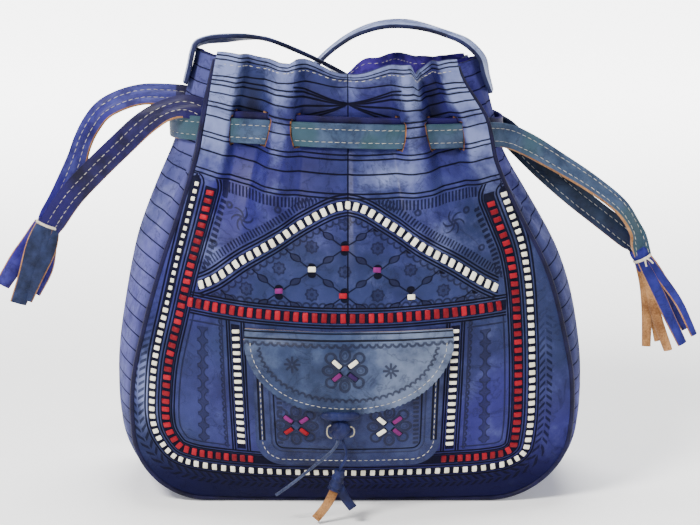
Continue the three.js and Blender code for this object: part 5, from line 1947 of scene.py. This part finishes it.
# Rubbed places of the flap: amount, way across, start and reach
FLAP_RUBBED = ((0.45, 1, -15.0, 60.0), (0.2, -1, 45.0, 20.0))
FLAP_COLUMNS = 241
FLAP_ROWS = 46
FLAP_ROW_POWER = 1.1
TOOTH_FADE_POWER = 3
FLAP_WEAR = 0.05
TOOTH_PITCH = 3.5
TOOTH_DEPTH = 1.0
flap_a = np.sin(np.linspace(-math.pi / 2, math.pi / 2, FLAP_COLUMNS))
flap_drop = FLAP_SIDE_DROP + (FLAP_DROP - FLAP_SIDE_DROP) * np.sqrt(1 - np.abs(flap_a) ** FLAP_POWER)
FLAP_EDGE = np.stack([FLAP_HALF * flap_a, FLAP_TOP - flap_drop], -1)
flap_run = lengths_along(FLAP_EDGE)
flap_teeth = TOOTH_DEPTH * np.abs(np.mod(flap_run / TOOTH_PITCH, 1) * 2 - 1)
flap_rise = np.linspace(0, 1, FLAP_ROWS)[:, None] ** FLAP_ROW_POWER
flap_z = FLAP_TOP - (flap_drop - flap_teeth * (1 - flap_rise) ** TOOTH_FADE_POWER) * (1 - flap_rise)
flap_x = np.broadcast_to(FLAP_HALF * flap_a, flap_z.shape)
flap_wear = FLAP_WEAR
for amount, way, from_x, over_x in FLAP_RUBBED:
    flap_wear = flap_wear + amount * ease((way * flap_x - from_x) / over_x)
flap_marks = {
    "place": np.stack([flap_x, flap_z, flap_wear], -1),
    "edge": path_field(FLAP_EDGE, flap_x, flap_z),
}
flap_grid = on_front(flap_x, flap_z, flap_away(flap_x, flap_z))
flap_looks = ["flap_leather", "inside_leather", "raw_edge"]
flap = shell("pocket_flap", flap_grid, FLAP_WALL, flap_looks, flap_marks)
settle(flap, "pocket_leather", "pocket_flap")

# Heads of the tassels: half-width across, half-depth, height
LEFT_HEAD = ((6.4, 3.2, -5.4), (7.2, 3.7, -8.6), (7.5, 3.8, -11), (8.4, 4.3, -16))
RIGHT_HEAD = ((5.9, 3.2, -1.4), (6.4, 3.6, -5), (5.9, 3.5, -8.6), (6.4, 3.8, -12), (6.6, 4, -16))

# Blades of the tassels: place across, place in depth, length, splay, width, number of the grain side's look
LEFT_BLADES = (
    (-5, 1.6, 61, -11, 13, 3), (-2.6, -3.8, 67, 1, 15, 0), (4.4, -2.6, 63, -3, 13, 0), (5, 2.4, 58, 1, 10, 3),
    (-1, 3.6, 68, -3, 9, 1),
)
RIGHT_BLADES = (
    (-1.8, -3.8, 74, -1.4, 8.4, 0), (4.4, -3.1, 72, 2.4, 6.4, 0), (-3, -1.2, 75, -11, 7.6, 1),
    (-4, 1.4, 66, -22, 7.6, 1), (-2, 3, 67, -15, 6, 1), (3.4, 3.2, 68, 1, 9, 0),
)
RAW_LOOK = 1
TOP_LOOK = 2
BLADE_THICK = 1.5
BLADE_CUP = 1.1
BLADE_START_Z = -9.6
BLADE_POINTS = 26
BLADE_CURL = 1.5
BLADE_CURL_STEP = 2.4
BLADE_TURN = 0.45
BLADE_TURN_STEP = 1.7
BLADE_TURN_START = 0.5
BLADE_SWELL = 0.2
BLADE_SWELL_POWER = 0.8

BLADE_NECK = 0.22
BLADE_MIDDLE = 1.15

# Knots of a blade: shares of its place, splay, curl, depth, curl in depth and turn, and the lift of its face
BLADE_KNOTS = (
    (0.75, 0, 0, 1, 0, 0, 0), (1, 0.12, 0, 1.2, 0, 0.3, 0), (1.2, 0.5, 1, 1.25, 0.4, 1, 0),
    (1, 1, 0, 1.2, -0.5, 1.3, 0.1),
)
THREAD_Z = -8.6
THREAD_RADIUS = 0.62
THREAD_POINTS = 110
THREAD_SIDES = 8
THREAD_TURNS = 2
THREAD_FALL = 1.4
THREAD_SEAT = 0.7
THREAD_END_POINTS = 12
THREAD_END_X = 1.5

# A loose end's knots: share of its lean, way out of the head, drop
THREAD_END_KNOTS = ((0, 0, 0), (0.6, 1, 1.6), (1, 1, 5))
HEAD_RINGS = 36
HEAD_SIDES = 40
HEAD_PLEATS = 9
HEAD_PLEAT_DEPTH = 0.05
HEAD_PLEAT_LEAN = 0.2
HEAD_PLEAT_Z = -6.0
HEAD_PLEAT_OVER = 6.0


def hung(points, at, turn):
    """Points of a tassel's own frame, turned and placed."""
    x, y, z = np.moveaxis(np.asarray(points, float), -1, 0)
    cosine = math.cos(turn)
    sine = math.sin(turn)
    return np.stack([x * cosine + z * sine, y, z * cosine - x * sine], -1) + np.array(at)


def blade_form(blade, number):
    """One cupped strip of a tassel, in the tassel's own frame; and which section faces are its grain side."""
    across, depth, length, splay, width, _ = blade
    section, is_edge = sewn_section(width, BLADE_THICK)
    cupped = [(wide, high + BLADE_CUP * (2 * wide / width) ** 2) for wide, high in section]
    grain = [not edge and k < len(section) / 2 for k, edge in enumerate(is_edge)]
    curl = BLADE_CURL * math.sin(number * BLADE_CURL_STEP)
    turn = BLADE_TURN * math.sin(number * BLADE_TURN_STEP + BLADE_TURN_START)
    middle = (BLADE_START_Z - length) / 2 * BLADE_MIDDLE
    heights = (BLADE_START_Z, BLADE_START_Z - length * BLADE_NECK, middle, -length)
    placed, splayed, curled, deep, curled_in, turned, lift = np.array(BLADE_KNOTS).T
    knot_x = across * placed + splay * splayed + curl * curled
    knots = np.stack([knot_x, depth * deep + curl * curled_in, heights], -1)
    faces_out = np.stack([-turn * turned, np.ones(len(lift)), lift], -1)
    along = np.linspace(0, 1, BLADE_POINTS)
    swell = 1 - BLADE_SWELL + BLADE_SWELL * np.sin(math.pi * along ** BLADE_SWELL_POWER)
    points, faces = Route(knots, BLADE_POINTS, faces_out).bar(cupped, swell)
    return points, faces, grain


def tassel_form(head_rows, blades, at, turn):
    """The gathered head, above the thread in the strap's look, and the blades under it."""
    half_x, half_y, z = spline(np.array(head_rows[::-1], float), HEAD_RINGS).T[..., None]
    angle = np.linspace(0, 2 * math.pi, HEAD_SIDES, endpoint=False)
    pleats = HEAD_PLEAT_DEPTH * np.sin(HEAD_PLEATS * angle + HEAD_PLEAT_LEAN * z)
    ripple = 1 + pleats * ease((HEAD_PLEAT_Z - z) / HEAD_PLEAT_OVER)
    head_x = half_x * np.cos(angle) * ripple
    head_y = half_y * np.sin(angle) * ripple
    head = np.stack([head_x, head_y, np.broadcast_to(z, ripple.shape)], -1)
    ring_looks = np.where(z[:-1, 0] > THREAD_Z, TOP_LOOK, 0)
    head_looks = [*np.repeat(ring_looks, HEAD_SIDES).tolist(), 0, TOP_LOOK]
    parts = [(hung(head.reshape(-1, 3), at, turn), bar_faces(HEAD_RINGS, HEAD_SIDES), head_looks)]
    for number, blade in enumerate(blades):
        points, faces, grain = blade_form(blade, number)
        look_ids = [blade[-1] if grain[k % len(grain)] else RAW_LOOK for k in range(len(faces) - 2)]
        look_ids += [RAW_LOOK, RAW_LOOK]
        parts.append((hung(points, at, turn), faces, look_ids))
    return joined(parts)


def tie_form(head_rows, at, turn, bow_leans):
    """Two turns of thread round a tassel's head, with loose ends in front."""
    angle = np.linspace(0, 2 * math.pi * THREAD_TURNS, THREAD_POINTS)
    widths, depths, heights = np.array(head_rows[::-1]).T
    grown_x = np.interp(THREAD_Z, heights, widths) + THREAD_RADIUS * THREAD_SEAT
    grown_y = np.interp(THREAD_Z, heights, depths) + THREAD_RADIUS * THREAD_SEAT
    z = THREAD_Z + THREAD_FALL / 2 - THREAD_FALL * angle / angle[-1]
    lines = [np.stack([grown_x * np.cos(angle), grown_y * np.sin(angle), z], -1)]
    for lean in bow_leans:
        share, out, drop = np.array(THREAD_END_KNOTS).T
        ends = np.stack([THREAD_END_X + lean * share, -grown_y - out, THREAD_Z - drop], -1)
        lines.append(spline(ends, THREAD_END_POINTS))
    parts = []
    for line in lines:
        route = Route(line, len(line), np.tile((0.0, 0.1, 1), (len(line), 1)))
        points, faces = route.bar(round_section(THREAD_RADIUS, THREAD_SIDES))
        parts.append((hung(points, at, turn), faces, 0))
    return joined(parts)[:2]


# The two tassels: name, head, blades, place, turn in degrees, looks of blades and top, leans of loose ends
TASSELS = (
    ("left", LEFT_HEAD, LEFT_BLADES, (-197.6, 0, 186.5), 22, "dark_blade", "violet_strap", ()),
    ("right", RIGHT_HEAD, RIGHT_BLADES, (197.2, 0, 163.8), -27, "blue_blade", "blue_blade", (-2.4, 2.6)),
)
for tassel_name, head_rows, blades, tassel_at, turn_deg, blade_look, top_look, bow_leans in TASSELS:
    node = "tassel_" + tassel_name
    tassel_turn = math.radians(turn_deg)
    form_points, form_faces, form_looks = tassel_form(head_rows, blades, tassel_at, tassel_turn)
    looks = [blade_look, "raw_edge", top_look, "violet_blade"]
    tassel = add_mesh(node, form_points, form_faces, looks, form_looks)
    settle(tassel, "tassel_leather", node)
    tie_points, tie_faces = tie_form(head_rows, tassel_at, tassel_turn, bow_leans)
    tie = add_mesh(node + "_thread", tie_points, tie_faces, ["tie_thread"])
    settle(tie, "thread", node + "_thread")

# Shoulder strap
SHOULDER_WIDTH = 24.0
SHOULDER_THICK = 3.0
SHOULDER_POINTS = 300
SEWN_LEVELS = (275.0, 286.0, 297.0)
SEWN_FACE_RISE = 0.15

# The strap's free arch: x, y, z, and the way that its face looks
ARCH = [
    (-95, 1, 301.6, -0.75, 0.06, 0.65), (-88, 2, 304.6, -0.45, 0.08, 0.9), (-77, 4, 306, -0.15, 0.1, 1),
    (-63, 8, 306, 0.12, 0.14, 1), (-50, 15, 303, 0.3, 0.18, 1), (-37, 24, 297, 0.4, 0.2, 0.9),
    (-20, 38, 287.5, 0.5, 0.25, 0.8), (-2, 52, 276, 0.6, 0.3, 0.7), (18, 64, 260, 0.7, 0.4, 0.5),
    (37, 78, 230, 0.8, 0.45, 0.25), (48, 92, 195, 0.85, 0.45, 0.1), (52, 102, 155, 0.9, 0.35, 0),
    (47, 107, 118, 0.85, 0.2, -0.4), (30, 110, 90, 0.5, 0.1, -0.85), (4, 112, 80, 0, 0, -1),
    (-22, 114, 90, -0.5, 0, -0.85), (-39, 116, 118, -0.9, 0, -0.4), (-45, 117, 155, -1, 0, 0),
    (-43, 114, 195, -1, 0, 0.1), (-36, 105, 232, -0.9, 0, 0.3), (-23, 91, 262, -0.8, 0, 0.5),
    (-6, 73, 285, -0.65, 0, 0.75), (10, 54, 300, -0.5, 0, 0.85), (26, 34, 310, -0.3, 0, 0.95),
    (43, 18, 315, -0.05, 0, 1), (60, 8, 315, 0.15, 0, 1), (75, 3, 312, 0.35, 0, 0.95),
    (87, 1, 307.5, 0.6, 0, 0.8),
]


def sewn_rows(side):
    """The strap's end, sewn on the middle of the gusset."""
    rows = []
    for z in SEWN_LEVELS:
        reach = body("seam_x", z) + gusset_push(0.0, z) + WALL / 2 + 3 * FIT_GAP + SHOULDER_THICK / 2
        rows.append((side * float(reach), 0, z, side, 0, SEWN_FACE_RISE))
    return rows


shoulder_route = split_route(sewn_rows(-1) + ARCH + sewn_rows(1)[::-1], SHOULDER_POINTS)
shoulder_section, shoulder_edges = sewn_section(SHOULDER_WIDTH, SHOULDER_THICK)
shoulder_looks = ["shoulder_leather", "edge_leather"]
shoulder = strap_piece("shoulder_strap", shoulder_route, shoulder_section, shoulder_edges, shoulder_looks)
settle(shoulder, "shoulder_leather", "shoulder_strap")

# Lacing of the front: rows of short leather bars over dark lanes
POCKET_COVER_X = 57.0
POCKET_COVER_TOP = 60.0
red_path = inset_path(WHITE_PATH, RED_INSET)
covered = (np.abs(red_path[:, 0]) < POCKET_COVER_X) & (red_path[:, 1] < POCKET_COVER_TOP)
cut_from = int(np.argmax(covered))
cut_to = len(covered) - int(np.argmax(covered[::-1]))

# Laced rows: colour, path, pitch, and each lace's size along, across and up
LACED_ROWS = (
    ("white", WHITE_PATH[:4], 5.1, (2.7, 2.8, 1.1)),
    ("white", WHITE_PATH[3:11], 5.3, (3.0, 4.1, 1.2)),
    ("white", WHITE_PATH[10:17], 6.3, (3.2, 4.9, 1.2)),
    ("white", WHITE_PATH[16:], 5.3, (3.0, 4.5, 1.2)),
    ("white", GABLE_PATH, 5.6, (3.4, 5.7, 1.2)),
    ("white", [(-73.8, 132), (-72.2, 92), (-70.6, 51)], 4.9, (2.4, 5.2, 1.1)),
    ("white", [(70.5, 133), (68.9, 92), (67.3, 50)], 4.9, (2.4, 5.2, 1.1)),
    ("red", red_path[:cut_from], 5.5, (3.3, 5.5, 1.2)),
    ("red", red_path[cut_to:], 5.5, (3.3, 5.5, 1.2)),
    ("red", [(-106.7, ROW_V), (0, ROW_V), (102, ROW_V)], 6.1, (3.6, 6.4, 1.2)),
)

# Single laces at the lattice's crossings: colour, x, height
CROSSINGS = (
    ("red", -1.9, 190), ("white", -23.5, 174.8), ("purple", -45.2, 158.8), ("red", -3.2, 157.8),
    ("purple", 19, 175.4), ("white", 41.4, 155.6),
)
CROSSING_HALF = 1.7
CROSSING_SIZE = (3.4, 5.2, 1.2)

# Crosses: middle, how far the leather stands out, half its wall, colours of the four laces
CROSSES = (
    (FLAP_CROSS, flap_away, FLAP_WALL / 2, ("white", "white", "purple", "plum")),
    (LEFT_CROSS, pocket_away, POCKET_WALL / 2, ("purple", "purple", "red", "red")),
    (RIGHT_CROSS, pocket_away, POCKET_WALL / 2, ("white", "purple", "white", "purple")),
)
ARMS = ((-1, 1), (1, 1), (-1, -1), (1, -1))
ARM_X = 5.1
ARM_Z = 4.3
ARM_RISE = 0.2
ARM_SIZE = (2.9, 6.8, 1.2)
LACE_TURN = 0.06
LACE_SEEDS = {"white": 11, "red": 12, "purple": 13, "plum": 14}


def front_normal(x, z):
    return panel_normal(x / outline_half(z, SEAM_SETBACK), z, FRONT)


def arm_lace(middle, right, up, away, half_wall):
    """One lace of a cross, on the pocket or its flap."""
    x = np.array([middle[0] + right * ARM_X])
    z = np.array([middle[1] + up * ARM_Z])
    place = on_front(x, z, away(x, z) + half_wall + ARM_RISE)
    return sway(place), np.array([[-up * ARM_UP, 0.0, right * ARM_ACROSS]]), front_normal(x, z), ARM_SIZE


laces = {colour: [] for colour in LACE_SEEDS}
for colour, path, pitch, size in LACED_ROWS:
    laces[colour].append(front_row(path, pitch, size))
for colour, lace_x, lace_v in CROSSINGS:
    path = [(lace_x, lace_v - CROSSING_HALF), (lace_x, lace_v + CROSSING_HALF)]
    laces[colour].append(front_row(path, 2 * CROSSING_HALF, CROSSING_SIZE))
for middle, away, half_wall, colours in CROSSES:
    for (right, up), colour in zip(ARMS, colours):
        laces[colour].append(arm_lace(middle, right, up, away, half_wall))
for colour, seed in LACE_SEEDS.items():
    lay(colour + "_lacing", "lace", laces[colour], colour + "_lace", LACE_TURN, seed)

# Stitching of the pocket, its flap and the rim
STITCH = (2.9, 0.46, 0.55)
STITCH_PITCH = 3.9
STITCH_RISE = 0.1
SEAM_POINTS = 400
POCKET_SEAM_INSET = 4.4
FLAP_SEAM_INSET = 4.2
RIM_STITCH = (3.1, 0.5, 0.6)
RIM_STITCH_PITCH = 4.6
RIM_STITCH_LEVEL = 292.6
RIM_STITCH_U = 0.97
RIM_POINTS = 700
RIM_STEP = 0.002
SEAM_TURN = 0.1
SEAM_SEED = 21


def seam_stitches(path, away, half_wall):
    x, z = spline(path, SEAM_POINTS).T
    place = on_front(x, z, away(x, z) + half_wall + STITCH_RISE)
    run = lengths_along(place)
    spots = spots_along(run[-1], STITCH_PITCH)
    columns = (place, np.gradient(place, axis=0), front_normal(x, z))
    places, along, lift = (picked(spots, run, column) for column in columns)
    return sway(places), along, lift, STITCH


def rim_stitches(side, face):
    u = np.linspace(-RIM_STITCH_U, RIM_STITCH_U, RIM_POINTS)
    run = lengths_along(panel_point(u, RIM_STITCH_LEVEL, side))
    at = np.interp(spots_along(run[-1], RIM_STITCH_PITCH), run, u)
    level = np.full(len(at), RIM_STITCH_LEVEL)
    lift = panel_normal(at, level, side) * face
    along = panel_point(at + RIM_STEP, level, side) - panel_point(at - RIM_STEP, level, side)
    place = panel_point(at, level, side) + lift * (WALL / 2 + STITCH_RISE)
    return sway(place), along, lift, RIM_STITCH


seam_rows = [
    seam_stitches(inset_path(POCKET_EDGE, POCKET_SEAM_INSET), pocket_away, POCKET_WALL / 2),
    seam_stitches(inset_path(FLAP_EDGE, FLAP_SEAM_INSET), flap_away, FLAP_WALL / 2),
]
for rim_side in (FRONT, BACK):
    for rim_face in (-1, 1):
        seam_rows.append(rim_stitches(rim_side, rim_face))
lay("seam_stitches", "thread", seam_rows, "thread", SEAM_TURN, SEAM_SEED)

# Floor and light
FLOOR_DROP = 0.0003
FLOOR_HALF = 4.0
SKY_COLOUR = (0.95, 0.97, 1.0, 1.0)
SKY_STRENGTH = 0.4

# Lights: name, place, aim, size, power, colour
LIGHTS = (
    ("key", (-0.9, -1.1, 1.5), (0, 0, 0.15), 0.6, 62.0, (1.0, 0.98, 0.95)),
    ("fill", (1.4, -1.2, 0.7), (0, 0, 0.15), 1.2, 11.0, (0.94, 0.97, 1.0)),
    ("top", (0.1, 0.5, 1.9), (0, 0, 0.1), 1.4, 62.0, (1.0, 1.0, 1.0)),
)
floor_mesh = bpy.data.meshes.new("floor")
floor_corners = np.array([(-1, -1, 0), (1, -1, 0), (1, 1, 0), (-1, 1, 0)]) * FLOOR_HALF - (0, 0, FLOOR_DROP)
floor_mesh.from_pydata(floor_corners.tolist(), [], [(0, 1, 2, 3)])
floor_mesh.materials.append(LOOK["floor"])
floor = add_object("floor", floor_mesh)
for light_name, place, aim, size, power, colour in LIGHTS:
    lamp = bpy.data.lights.new(light_name, "AREA")
    lamp.shape = "DISK"
    lamp.size = size
    lamp.energy = power
    lamp.color = colour
    light = add_object(light_name, lamp)
    light.location = place
    light.rotation_euler = (Vector(aim) - Vector(place)).to_track_quat("-Z", "Y").to_euler()
world = bpy.data.worlds.new("studio")
world.use_nodes = True
sky = world.node_tree.nodes["Background"]
sky.inputs["Color"].default_value = SKY_COLOUR
sky.inputs["Strength"].default_value = SKY_STRENGTH
scene.world = world
